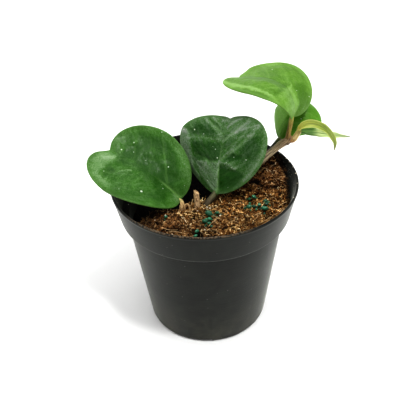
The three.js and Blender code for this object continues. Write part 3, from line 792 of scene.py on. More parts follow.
def mediumGrid():
    # square grid eased into a disc, so that its cells stay even, and fitted inside the pot's wall
    side = np.linspace(-1, 1, medium["cells"] + 1)
    u, v = np.meshgrid(side, side, indexing="ij")
    widest = float(innerRadius(medium["level"])) - medium["wallGap"]
    x, y = u * np.sqrt(1 - v * v / 2) * widest, v * np.sqrt(1 - u * u / 2) * widest
    away = np.hypot(x, y) / widest
    for _ in range(2):
        reach = innerRadius(roughHeight(x, y)) - medium["wallGap"]
        pull = 1 - (1 - reach / widest) * smoothStep(away, 0.6, 1)
        bearing = np.arctan2(y, x)
        x, y = widest * away * pull * np.cos(bearing), widest * away * pull * np.sin(bearing)
    z = roughHeight(x, y)
    # steep sides keep clear of the pot's inner step
    room = np.minimum(innerRadius(z), innerRadius(z - 5 * (1 - smoothStep(z, 69, 71))))
    tight = np.minimum(1, (room - 0.15) / np.maximum(np.hypot(x, y), 1))
    return x * tight, y * tight, z, away


def makeMedium():
    x, y, z, away = mediumGrid()
    points = np.stack([x, y, z], 2).reshape(-1, 3).tolist()
    index = np.arange(len(points)).reshape(z.shape)
    corners = [index[:-1, :-1], index[1:, :-1], index[1:, 1:], index[:-1, 1:]]
    faces = np.stack(corners, 2).reshape(-1, 4).tolist()
    rim = [*index[:-1, 0], *index[-1, :-1], *index[:0:-1, -1], *index[0, :0:-1]]
    # the hidden side and underside, in loops that go down the pot's wall
    loops = [rim]
    for step, level in enumerate(medium["sideLevels"]):
        loop = []
        for k in rim:
            a = math.atan2(points[k][1], points[k][0])
            low = min(level, points[k][2] - 0.4 * (step + 1))
            reach = float(innerRadius(low)) - 0.3 - (0.8 if level < 2.5 else 0)
            loop.append(len(points))
            points.append([reach * math.cos(a), reach * math.sin(a), low])
        loops.append(loop)
    for upper, lower in zip(loops, loops[1:]):
        faces += [(upper[k], upper[k - 1], lower[k - 1], lower[k]) for k in range(len(rim))]
    centre = len(points)
    points.append([0, 0, medium["sideLevels"][-1]])
    faces += [(loops[-1][k], loops[-1][k - 1], centre) for k in range(len(rim))]
    piece = meshPiece("coir_block", points, faces, finish=soilFinish())
    # how hollow, how deep and how littered the ground is
    cavity = hollowness(z, 15, 1.1) * 0.75 + hollowness(z, 5, 2.2) * 0.35
    sunk = np.clip(pitMask(x, y, soilWobble(x, y)) / 1.4, 0, 1)
    hollow = np.clip(cavity, 0, 1)
    deep = np.maximum(1 - smoothStep(z, 60, 71), 0.85 * sunk)
    edge = np.interp(x, medium["edgeX"], medium["edgeY"])
    litter = (1 - smoothStep(away, 0.985, 1.0)) * (1 - 0.97 * smoothStep(y - edge, -0.5, 2))
    litter = litter * (1 - 0.6 * hollow) * (1 - 0.92 * sunk)
    below = np.zeros(len(points) - index.size)
    values = {"hollow": hollow, "deep": deep, "litter": litter}
    pointValues(piece, **{key: np.r_[grid.ravel(), below] for key, grid in values.items()})
    return piece


def keepInside(board, geometry):
    # what reaches into the pot's wall is pushed back along its radius
    real = board.node("GeometryNodeRealizeInstances", {}, {"Geometry": geometry})
    own, step = board.here(), pot["collarFootZ"]
    low, high = (r * mm for r in medium["litterReach"])
    limit = (own.part("Z") * (1 / mm)).smooth(step + 0.5, step + 2) * (high - low) + low
    pull = (limit / own.reach().highest(mm)).lowest(1)
    return board.moved(real, Position=board.vector(own.part("X") * pull, own.part("Y") * pull, own.part("Z")))


def scatter(board, wires, shapes, scale, spin, pickSeed, tintSeed):
    # one of the shapes on each point, more of them where the ground is littered
    values = {"Mesh": wires["Geometry"], "Density": board.named("litter") * wires["Density"],
              "Seed": wires["Seed"]}
    points = board.node("GeometryNodeDistributePointsOnFaces", {}, values, give="Points")
    shapes = [board.node("GeometryNodeGeometryToInstance", {}, {"Geometry": [shape]}) for shape in shapes]
    choice = board.chance(0, len(shapes) - 1, pickSeed)
    placed = board.node("GeometryNodeInstanceOnPoints", {}, {
        "Points": points, "Instance": board.node("GeometryNodeJoinGeometry", {}, {"Geometry": shapes}),
        "Pick Instance": True, "Instance Index": choice, "Scale": scale, "Rotation": board.rotation(spin)})
    placed = board.store(placed, "tint", board.chance(0.0, 1.0, tintSeed), domain="INSTANCE")
    closeGrowth(board, keepInside(board, placed), wires["Finish"])


def crumbTree():
    sockets = dict.fromkeys(("Density", "Smallest", "Largest"), "Float")
    sockets.update({"Rank": "Int", "Seed": "Int", "Finish": "Material"})
    tree, board, wires = newGrowth("looseCrumbs", sockets)
    lumps = []
    for k in range(4):
        ball = {"Radius": 1.0, "Subdivisions": wires["Rank"]}
        ball = board.node("GeometryNodeMeshIcoSphere", {}, ball, give="Mesh")
        own = board.here()
        uneven = board.noise(own + (k * 7.3, k * 2.1, 0), 1.4, 3, 0.7) * 1.5 - 0.25
        lumps.append(board.moved(ball, Position=own * uneven))
    small = board.chance(0.0, 1.0, wires["Seed"])
    size = wires["Smallest"] + (wires["Largest"] - wires["Smallest"]) * (small * small * small)
    squash = board.chance((0.7, 0.7, 0.45), (1.4, 1.1, 0.9), 5)
    spin = board.chance((-0.6, -0.6, -3.2), (0.6, 0.6, 3.2), 8)
    scatter(board, wires, lumps, squash * size, spin, 11, 21)
    return tree


def fibreTree():
    sockets = dict.fromkeys(("Density", "Length", "Thickness"), "Float")
    sockets.update({"Seed": "Int", "Finish": "Material"})
    tree, board, wires = newGrowth("coirFibres", sockets)
    threads = []
    for k in range(5):
        line = board.node("GeometryNodeCurvePrimitiveLine", {}, {"Start": (-0.5, 0, 0), "End": (0.5, 0, 0)})
        line = board.node("GeometryNodeResampleCurve", {}, {"Curve": line, "Count": 8})
        bend = {"Vector": board.here() + (k * 5.7, k * 3.9, 1.5), "Scale": 1.9, "Detail": 1.0}
        drift = board.node("ShaderNodeTexNoise", {}, bend, give="Color")
        line = board.moved(line, Offset=(drift - (0.5, 0.5, 0.42)) * (1.1, 2.1, 0.8))
        ring = {"Resolution": 4, "Radius": wires["Thickness"]}
        ring = board.node("GeometryNodeCurvePrimitiveCircle", {}, ring, give="Curve")
        values = {"Curve": line, "Profile Curve": ring, "Fill Caps": True}
        threads.append(board.node("GeometryNodeCurveToMesh", {}, values))
    size = board.chance(0.35, 1.0, 4) * wires["Length"]
    spin = board.chance((-3.2, -0.22, -3.2), (3.2, 0.22, 3.2), 6)
    scatter(board, wires, threads, board.vector(size, size, size), spin, 13, 31)
    return tree


def litterFinish(name, tones, grainHeight):
    material, board = newMaterial(name)
    place = board.place()
    mottled = board.noise(place, 1.8, 3, 0.7)
    colour = board.ramp((board.attribute("tint") * 0.8 + mottled * 0.5 - 0.08).lowest(1), tones)
    # painted shade between clumps, in pits and at the wall gap, painted shadow below the left leaf, as on the
    # medium
    colour = soilShade(board, place, board.blend(soilGapShade(board, place) * 0.85, colour, medium["dark"]))
    normal = board.bump(board.noise(place, 3.5, 3, 0.7), grainHeight)
    board.finish({"Base Color": colour, "Roughness": mottled.span(0.75, 0.95), "Normal": normal,
                  "Specular IOR Level": 0.2})
    return material


# what lies loose on the medium
looseCoir = {
    # tones from dark to pale, then the height of the grain
    "finishes": {
        "coirCrumbs": ([
            (0.0, (0.008, 0.0035, 0.0016)), (0.34, (0.045, 0.018, 0.007)), (0.55, (0.32, 0.145, 0.048)),
            (0.74, (0.70, 0.42, 0.18)), (1.0, (0.98, 0.80, 0.52)),
        ], 0.25),
        "coirFibres": ([
            (0.0, (0.025, 0.011, 0.004)), (0.45, (0.27, 0.145, 0.055)), (0.8, (0.66, 0.45, 0.22)),
            (1.0, (0.95, 0.78, 0.5)),
        ], 0.05),
        "coirThreads": ([
            (0.0, (0.05, 0.024, 0.009)), (0.45, (0.32, 0.18, 0.07)), (0.75, (0.86, 0.64, 0.36)),
            (1.0, (1.0, 0.9, 0.68)),
        ], 0.05),
    },
    # points to a square metre, sizes in metres, a thread's thickness as a share of its length
    "layers": {
        "coir_crumbs": ("crumbs", "coirCrumbs", {
            "Density": 7.0e5, "Smallest": 0.00028, "Largest": 0.00072, "Rank": 1, "Seed": 3}),
        "coir_clumps": ("crumbs", "coirCrumbs", {
            "Density": 1.7e5, "Smallest": 0.0006, "Largest": 0.0014, "Rank": 2, "Seed": 9}),
        "coir_fibres": ("fibres", "coirFibres", {
            "Density": 5.2e5, "Length": 0.0034, "Thickness": 0.036, "Seed": 7}),
        "coir_threads": ("fibres", "coirThreads", {
            "Density": 2.0e5, "Length": 0.0052, "Thickness": 0.037, "Seed": 17}),
    },
}


def makeLitter(base):
    trees = {"crumbs": crumbTree(), "fibres": fibreTree()}
    finishes = {name: litterFinish(name, *look) for name, look in looseCoir["finishes"].items()}
    for name, (kind, finish, values) in looseCoir["layers"].items():
        layer = addObject(name, base.data.copy())
        settle(grow(layer, trees[kind], {**values, "Finish": finishes[finish]}), "coir")


soil = makeMedium()
makeLitter(soil)
settle(soil, "coir", "growing_medium")


def strawFinish(name, colour, dark, pale):
    material, board = newMaterial(name)
    place = board.place()
    fibres = board.noise(board.stretched(place, (2.6, 2.6, 0.28), (0.28, 0, 0)), 1.0, 4, 0.7, 0.4)
    speck = board.noise(place, 1.6, 3, 0.7)
    tone = board.blend(fibres.smooth(0.36, 0.62), dark, colour)
    tone = board.blend(speck.smooth(0.55, 0.75) * 0.6, tone, pale)
    board.finish({"Base Color": tone, "Roughness": speck.span(0.7, 0.92), "Normal": board.bump(fibres, 0.3),
                  "Specular IOR Level": 0.25})
    return material


# granules and pale grit
bead = {
    "tones": [(0.0, (0.002, 0.028, 0.013)), (0.5, (0.008, 0.115, 0.055)), (1.0, (0.08, 0.36, 0.2))],
    "grime": (0.2, 0.14, 0.08),
    "stretch": (1.18, 0.93, 0.84),
    "lumpiness": 0.7,
    "brokenBit": 0.46,
    # pale grit: x, y and radius on the medium, then bearings in radians on the rim
    "grit": [
        (0.9, -15.6, 0.36), (2.2, -16.5, 0.4), (6.7, -22.5, 0.42), (-0.3, -31.8, 0.34), (-3.5, -18.8, 0.26),
        (9.3, -36, 0.34), (-22.8, -24.2, 0.3), (-18.2, -21.2, 0.4), (13.5, -24, 0.26), (31, -8.5, 0.3),
        (27.5, 10, 0.28),
    ],
    "rimGrit": [-0.15, 0.04, 0.17, 0.28, 0.36, -0.42, 0.5],
    "rimGritRadius": 0.27,
    "gritTones": [(0.8, 0.75, 0.62), (0.45, 0.38, 0.27), (0.92, 0.9, 0.84)],
}


def granuleFinish():
    material, board = newMaterial("coatedGranule")
    place = board.place()
    cloud = board.noise(place, 1.3, 3, 0.6)
    colour = board.ramp((board.attribute("tint") * 0.6 + cloud * 0.55 - 0.08).lowest(1), bead["tones"])
    grime = board.noise(place, 2.4, 4, 0.7).smooth(0.58, 0.75)
    colour = board.blend(grime * 0.6, colour, bead["grime"])
    normal = board.bump(board.noise(place, 2.6, 3, 0.6), 0.16)
    board.finish({"Base Color": colour, "Roughness": cloud.span(0.3, 0.5) + grime * 0.3, "Normal": normal,
                  "Coat Weight": 0.5, "Coat Roughness": 0.14})
    return material


def granuleTree():
    sockets = {"Lumpiness": "Float", "Seed": "Int", "Finish": "Material"}
    tree, board, wires = newGrowth("feedGranules", sockets)
    ball = board.node("GeometryNodeMeshIcoSphere", {}, {"Radius": 1.0, "Subdivisions": 3}, give="Mesh")
    radius = board.named("beadSize")
    points = board.node("GeometryNodeMeshToPoints", {}, {"Mesh": wires["Geometry"]})
    spin = board.chance((-0.5, -0.5, -0.7), (0.5, 0.5, 0.7), wires["Seed"])
    placed = board.node("GeometryNodeInstanceOnPoints", {}, {
        "Points": points, "Instance": ball, "Rotation": board.rotation(spin),
        "Scale": board.vector(*(radius * share for share in bead["stretch"]))})
    placed = board.store(placed, "tint", board.chance(0.0, 1.0, 2), domain="INSTANCE")
    real = board.node("GeometryNodeRealizeInstances", {}, {"Geometry": placed})
    dents = (board.noise(board.here(), 900, 2, 0.6) - 0.5) * wires["Lumpiness"]
    real = board.moved(real, Offset=board.node("GeometryNodeInputNormal") * dents)
    closeGrowth(board, real, wires["Finish"])
    return tree


beadTree = granuleTree()


def growBeads(name, beads, finish, slotName, *nodes):
    # beads are x, y, z and radius
    centres = meshPiece(name, [spot[:3] for spot in beads])
    pointValues(centres, beadSize=[spot[3] * mm for spot in beads])
    piece = grow(centres, beadTree, {"Lumpiness": bead["lumpiness"] * mm, "Seed": 4, "Finish": finish})
    settle(piece, slotName, *nodes)


def brokenBits(k, x, y, radius):
    # crumbled pieces beside granule k, only one for each of the three that lie apart
    bits = []
    for j in range(1 if 5 <= k <= 7 else 3):
        a, size = 2.4 * k + 2.1 * j, bead["brokenBit"] + 0.14 * math.sin(5 * k + j)
        px, py = x + (radius + size + 0.1) * math.cos(a), y + (radius + size + 0.1) * math.sin(a)
        bits.append((px, py, float(roughHeight(np.array([px]), np.array([py]))[0]) + 0.8 * size, size))
    return bits


def makeGranules():
    beads = [(x, y, granuleHeight(x, y, r) - 0.08 * r, r * (0.95 if r > 1.4 else 1)) for x, y, r in granules]
    for k, granule in enumerate(granules):
        beads += brokenBits(k, *granule)
    nodes = [f"granule_{k + 1:02d}" for k in range(len(granules))]
    growBeads("feed_granules", beads, granuleFinish(), "granule", *nodes)
    lip, lipTop = pot["rimRadius"] - 0.9, pot["height"] - 0.05
    stones = [(x, y, float(plainHeight(x, y)) + 1.0, r) for x, y, r in bead["grit"]]
    stones += [(lip * math.cos(a), lip * math.sin(a), lipTop, bead["rimGritRadius"]) for a in bead["rimGrit"]]
    growBeads("pale_grit", stones, strawFinish("paleGrit", *bead["gritTones"]), "coir")


makeGranules()


# x, y, z and radius from foot to tip, as in the CAD model
stalkPaths = {
    "stem": [
        (9.6, -2.6, 63, 1.3), (9.7, -2.5, 72, 1.35), (11.5, -2.2, 76.8, 1.35), (15.5, -1.4, 80, 1.25),
        (22, 0.9, 84.4, 1.45), (28.1, 3.9, 88.1, 1.75), (31, 5.3, 90.0, 1.65), (35, 7.4, 92.5, 1.7),
        (38.2, 9, 93.9, 1.8), (40.6, 9.9, 94.6, 1.8), (41.4, 9.8, 95.9, 1.45), (41.3, 9.9, 97.3, 1.0),
    ],
    "left": [
        (-10.2, -13.2, 65, 0.9), (-10.3, -13.0, 71.5, 0.95), (-10.5, -12.0, 73.6, 1.0),
        (-11.2, -9.4, 74.4, 0.95), (-14.0, -7.9, 75.9, 0.5),
    ],
    "middle": [
        (-0.2, -13.8, 64, 1.45), (-0.1, -13.4, 72.4, 1.65), (1.4, -11.6, 74.8, 1.65), (3.8, -9.2, 76.6, 1.55),
        (5.4, -7.4, 77.9, 1.35), (6.6, -6.0, 80.6, 0.7),
    ],
    "upper": [
        (40.5, 10, 95.0, 1.25), (40.5, 10, 96.45, 1.25), (40.6, 9.9, 98.5, 1.15), (40.95, 9.85, 101, 1.1),
        (41.35, 9.7, 104.8, 1.1), (41.5, 9.6, 106.6, 1.05), (42.1, 9.8, 109, 0.5),
    ],
    "back": [
        (28.6, 5.0, 87.9, 0.8), (29.6, 7.0, 88.4, 0.75), (31.2, 8.6, 89.5, 0.8), (33.0, 10.5, 90.6, 0.85),
        (35.2, 13.0, 91.7, 0.9), (36.9, 15.2, 92.2, 1.0), (39, 16.9, 93.2, 0.5),
    ],
    "shoot": [
        (41.6, 9.5, 94.6, 1.0), (42.9, 9.0, 95.4, 1.25), (43.7, 8.8, 96.8, 1.4), (44.8, 8.5, 99.4, 1.3),
        (45.5, 8.25, 101.4, 1.0),
    ],
}

stalkFinishes = {
    # colours from foot to tip, then lengthwise contrast, roughness
    "stem": ([
        (0.0, (0.09, 0.055, 0.03)), (0.35, (0.175, 0.14, 0.085)), (0.75, (0.29, 0.24, 0.155)),
        (1.0, (0.25, 0.165, 0.09)),
    ], 1.0, 0.55),
    "left": ([(0.0, (0.3, 0.19, 0.09)), (0.6, (0.55, 0.39, 0.2)), (1.0, (0.36, 0.38, 0.16))], 0.8, 0.7),
    "middle": ([
        (0.0, (0.05, 0.036, 0.016)), (0.6, (0.062, 0.05, 0.026)), (1.0, (0.08, 0.10, 0.04)),
    ], 1.0, 0.7),
    "upper": ([(0.0, (0.33, 0.21, 0.085)), (0.5, (0.46, 0.35, 0.105)), (1.0, (0.45, 0.46, 0.12))], 0.7, 0.5),
    "back": ([
        (0.0, (0.03, 0.03, 0.012)), (0.55, (0.05, 0.055, 0.02)), (0.8, (0.2, 0.23, 0.09)),
        (1.0, (0.34, 0.4, 0.17)),
    ], 0.5, 0.5),
    "shoot": ([
        (0.0, (1.0, 0.53, 0.22)), (0.4, (1.0, 0.80, 0.42)), (0.75, (0.95, 0.80, 0.36)),
        (1.0, (0.72, 0.66, 0.18)),
    ], 0.3, 0.45),
}


def stalkTree():
    tree, board, wires = newGrowth("stalkSkin", {"Sides": "Int", "Ridges": "Float", "Finish": "Material"})
    line = board.node("GeometryNodeMeshToCurve", {}, {"Mesh": wires["Geometry"]})
    ring = {"Resolution": wires["Sides"], "Radius": 1.0}
    ring = board.node("GeometryNodeCurvePrimitiveCircle", {}, ring, give="Curve")
    ring = board.store(ring, "ring", board.here(), "FLOAT_VECTOR")
    values = {"Curve": line, "Profile Curve": ring, "Scale": board.named("thickness"), "Fill Caps": True}
    tube = board.node("GeometryNodeCurveToMesh", {}, values)
    section = board.named("ring", "FLOAT_VECTOR")
    grain = board.vector(section.part("X"), section.part("Y"), board.named("along"))
    tube = board.store(tube, "grain", grain, "FLOAT_VECTOR")
    knobble = (board.noise(grain * (2.2, 2.2, 0.16), 1.4, 3, 0.6) - 0.5) * wires["Ridges"]
    rings = (board.noise(grain * (0.3, 0.3, 1.3), 1.0, 2, 0.6) - 0.5) * wires["Ridges"]
    tube = board.moved(tube, Offset=board.node("GeometryNodeInputNormal") * (knobble + rings * 0.7))
    closeGrowth(board, tube, wires["Finish"])
    return tree


def stalkFinish(name, length, stops, contrast, roughness):
    material, board = newMaterial(name + "Bark")
    grain = board.attribute("grain", give="Vector")
    lines = board.noise(grain * (3.0, 3.0, 0.22), 1.6, 4, 0.65, 0.3)
    fine = board.noise(grain * (7.0, 7.0, 0.9), 1.5, 3, 0.7)
    warts = board.noise(grain * (2.0, 2.0, 1.6), 1.6, 2, 0.5).smooth(0.62, 0.7)
    colour = board.ramp(grain.part("Z") / length, stops)
    broad = board.noise(grain * (1.3, 1.3, 0.13), 1.0, 3, 0.6, 0.5)
    shade = (broad * 0.5 + lines * 0.35 + fine * 0.15).smooth(0.41, 0.57) * contrast
    dark = board.blend(1.0, colour, (0.34, 0.31, 0.28), "MULTIPLY")
    colour = board.blend(shade, dark, board.blend(1.0, colour, (1.42, 1.4, 1.38), "MULTIPLY"))
    colour = board.blend(warts * 0.45, colour, toned(stops[1][1], 1.25))
    rough = lines.span(roughness - 0.12, roughness + 0.12)
    normal = board.bump(lines * 0.8 + fine * 0.3 + warts * 0.5, 0.16)
    board.finish({"Base Color": colour, "Roughness": rough, "Normal": normal, "Specular IOR Level": 0.4})
    return material


skinTree = stalkTree()


def makeStalk(key, name, slotName, nodes=(), sides=32, ridges=0.22, scars=()):
    # each scar is its place along the stalk, its swelling and its width
    line = catmullRom(stalkPaths[key], 14)
    along = lengthAlong(line)
    thickness = line[:, 3].copy()
    for spot, swell, width in scars:
        thickness += swell * np.exp(-((along - spot * along[-1]) / width) ** 2)
    for end in (0, -1):  # rounded ends
        near = np.clip(np.abs(along - along[end]) / (0.5 * line[end, 3]), 0, 1)
        thickness *= np.sqrt(np.clip(1 - (1 - near) ** 2, 0.02, 1))
    piece = meshPiece(name, line[:, :3], edges=chain(len(line)))
    pointValues(piece, thickness=thickness * mm, along=along)
    finish = stalkFinish(name, float(along[-1]), *stalkFinishes[key])
    grow(piece, skinTree, {"Sides": sides, "Ridges": ridges * mm, "Finish": finish})
    settle(piece, slotName, *nodes)


stemScars = [(0.585, 0.25, 0.3), (0.61, 0.2, 0.25), (0.93, 0.2, 0.3)]
makeStalk("stem", "vine_stem_bark", "stem_bark", ["vine_stem"], sides=40, ridges=0.3, scars=stemScars)
makeStalk("left", "leaf_left_stalk", "stem_bark")
makeStalk("middle", "leaf_middle_stalk", "stem_bark")
makeStalk("upper", "leaf_upper_stalk", "stem_bark", scars=[(0.08, 0.12, 0.4)])
makeStalk("back", "leaf_back_stalk", "stem_bark", ridges=0.1)
makeStalk("shoot", "shoot_tip_skin", "shoot", ["shoot_tip"], ridges=0.16, scars=[(0.35, 0.1, 0.3)])


# every leaf's blade, in millimetres
blade = {
    "thickness": 1.6,
    "marginThickness": 0.9,
    "marginRound": 0.1,
    "marginDrop": 0.16,
    "marginWidth": 0.6,
    "rimSteps": 6,
    "keel": 0.55,
    "keelWidth": 1.1,
    "halfColumns": 66,
    "alongSteps": (52, 46, 40),
    "flatScale": 60,  # millimetres of the flat leaf across the UV map
    "speck": (0.66, 0.76, 0.6),
}

# A leaf is drawn flat, in millimetres from the foot of its blade: x to its right, y along the midrib.
# right, left: greatest width and where, lobe's x and y, angles at the foot and the notch
# curl, trough, sideCurl: how the blade bends along, folds at the midrib and curls to each side
# veins: side, start, rise, bend and strength; dents: x, y, two reaches, turn in degrees and lift
# regions: outline, softness and how much lighter or darker, as painted highlight, sheen and shade with some
# of the leaf's own tone; strokes: line, width and how much, as painted highlights and shade lines
# specks: x, y and radius
# ribReach and ribFade: where the midrib fades and by how much; softFold: how round its fold becomes
# bloom, grain and streaks: how strongly the pale bloom with its painted sheen, fine grain and streaks along
# the veins show; pale: the colour of that bloom and sheen

leafLeft = {
    "name": "leaf_left_blade", "node": "leaf_left", "slot": "leaf_left",
    "base": (-11.4, -8.4, 74.8), "turn": (82.2, 55.9, -24.8), "length": 41.4,
    "right": (21.2, 24.0, 6.2, 43.0, 1.75, 0.29), "left": (22.4, 26.5, 9.4, 46.3, 1.63, 0.47),
    "curl": (0.0368, -0.0011), "trough": (0.18, 0.2), "sideCurl": (0.0031, -0.0166),
    "veins": [
        (1, 9.2, 0.82, 0.0, 0.45), (1, 20, 0.42, 0.008, 0.2), (1, 28.5, 0.45, 0.004, 0.25),
        (-1, 11, 0.2, 0.012, 0.15), (-1, 19, 0.35, 0.01, 0.15), (-1, 27, 0.6, 0.005, 0.2),
        (-1, 33.5, 0.75, 0.0, 0.15),
    ],
    "ribReach": 16, "ribFade": 0.92, "groove": 0.4, "quilt": 0.05, "lumps": (0.34, 0.1), "wrinkle": 0.07,
    "flow": 0.72, "seed": 2.3,
    "dents": [
        (-6.5, 29.5, 3.6, 1.4, -38, 0.5), (5.2, 32.3, 3.6, 1.8, -10, -0.2), (-4.6, 39.5, 3.2, 1.0, -58, 0.35),
        (-11.5, 35.2, 2.6, 1.8, 20, -0.35), (3.5, 37, 1.6, 1.0, 0, 0.15), (9.2, 34, 1.4, 1.6, 0, 0.15),
    ],
    "regions": [
        ([(-21, 30), (-19, 40), (-10, 46), (-3, 44.5), (-1, 41), (-3, 36), (-8, 37), (-14, 35),
          (-17, 30)], 3, 0.6),
        ([(-8, 43), (-3, 43), (-0.5, 40), (-1, 34), (-4, 34), (-7, 39)], 1.5, 0.15),
        ([(1, 7), (12, 13), (17, 24), (15, 33), (5, 29), (-2, 24), (-3, 12)], 3, -0.7),
        ([(20.5, 34), (21, 22), (17.5, 11), (10, 3), (4, 0.5), (8, 5), (13.5, 11), (17, 19), (17.6, 28),
          (16.5, 34)], 1.4, 0.3),
        ([(7, 27), (13, 27), (15, 20), (11, 14), (6, 17)], 3, 0.42),
        ([(2, 29), (9, 30), (9, 35), (3, 36), (0.5, 33)], 1.5, -0.45),
        ([(-16, 33), (-9, 33), (-8, 37), (-15, 38)], 1.5, -0.5),
        ([(-3.5, 29), (-0.3, 27), (-0.3, 36), (-4, 36)], 1.5, -0.25),
        ([(3, 39), (12, 38), (18, 31), (13, 41), (6, 43.5)], 2, 0.25),
        ([(-14, 9), (-8, 7), (-2.5, 9), (-3, 14), (-12, 14)], 2.5, -0.35),
        ([(-12, 3.5), (-5, 0.5), (-1, 1), (-1, 5), (-6, 7)], 2, 0.3),
        ([(-5, 0.5), (2, 0.5), (1.8, 6), (-2.5, 6)], 1.5, 0.35),
        ([(6, 3), (14, 8), (18, 16), (15, 17), (9, 9)], 2, 0.15),
        ([(-22, 18), (-21, 32), (-22.5, 33), (-23, 22)], 0.8, -0.6),
    ],
    "strokes": [
        ([(-12, 33), (-9, 31.4)], 0.7, 0.35), ([(-8, 30.6), (-6.2, 28.8), (-4.6, 27)], 0.7, 0.6),
        ([(-9.5, 29.5), (-7, 27.8)], 0.45, 0.3), ([(-5, 30), (-3.2, 28)], 0.4, 0.45),
        ([(-12.5, 30), (-9, 28.6)], 0.6, 0.3), ([(-8, 33.5), (-5.5, 31.5)], 0.6, 0.3),
        ([(-14, 21), (-8, 22.5), (-4, 21)], 0.9, 0.25), ([(-6, 25), (-2, 23)], 0.5, 0.25),
        ([(-17, 29), (-13, 28)], 0.6, 0.25), ([(6, 22), (11, 24)], 0.7, 0.2),
        ([(3, 15), (7, 19), (9, 23)], 0.8, -0.2), ([(-6, 40.5), (-4, 38.5), (-3, 37)], 0.9, 0.3),
        ([(-16, 33.5), (-12, 34)], 0.6, 0.5), ([(2, 11), (2.5, 15)], 0.6, 0.2),
        ([(0.6, 10.5), (4, 13.5), (8, 16.3), (11.5, 19)], 0.6, 0.4), ([(1.5, 36.5), (4, 36.2)], 0.6, 0.4),
        ([(8, 34.5), (10.5, 33)], 0.7, 0.45), ([(-14, 5), (-11, 8)], 0.5, 0.3),
        ([(-17, 11), (-13, 12.5), (-9, 13)], 0.6, 0.2), ([(-18, 24), (-12, 26), (-7, 25.5)], 1.0, 0.2),
        ([(3, 26), (8, 29), (14, 31)], 0.8, 0.2),
    ],
    "specks": [
        (-12.2, 17.5, 0.54), (7.8, 14.2, 0.36), (9.2, 33.8, 0.36), (3, 36.8, 0.36), (5.2, 31.5, 0.25),
        (4.5, 24.4, 0.22), (-3.1, 10.5, 0.32), (-1, 11.9, 0.16), (-12.6, 36.7, 0.22), (20.1, 25.2, 0.32),
        (-17.5, 26, 0.18), (13.5, 9.5, 0.14),
    ],
    "deep": (0.017, 0.073, 0.004), "fresh": (0.046, 0.148, 0.013), "pale": (0.35, 0.46, 0.29),
    "under": (0.14, 0.25, 0.07), "rib": (0.16, 0.29, 0.09),
    "roughness": 0.5, "margin": 0.25, "bloomAndSheen": 0.12, "softFold": 5.0, "gloss": 0.17, "grain": 0.75,
    "streaks": 0.15,
}

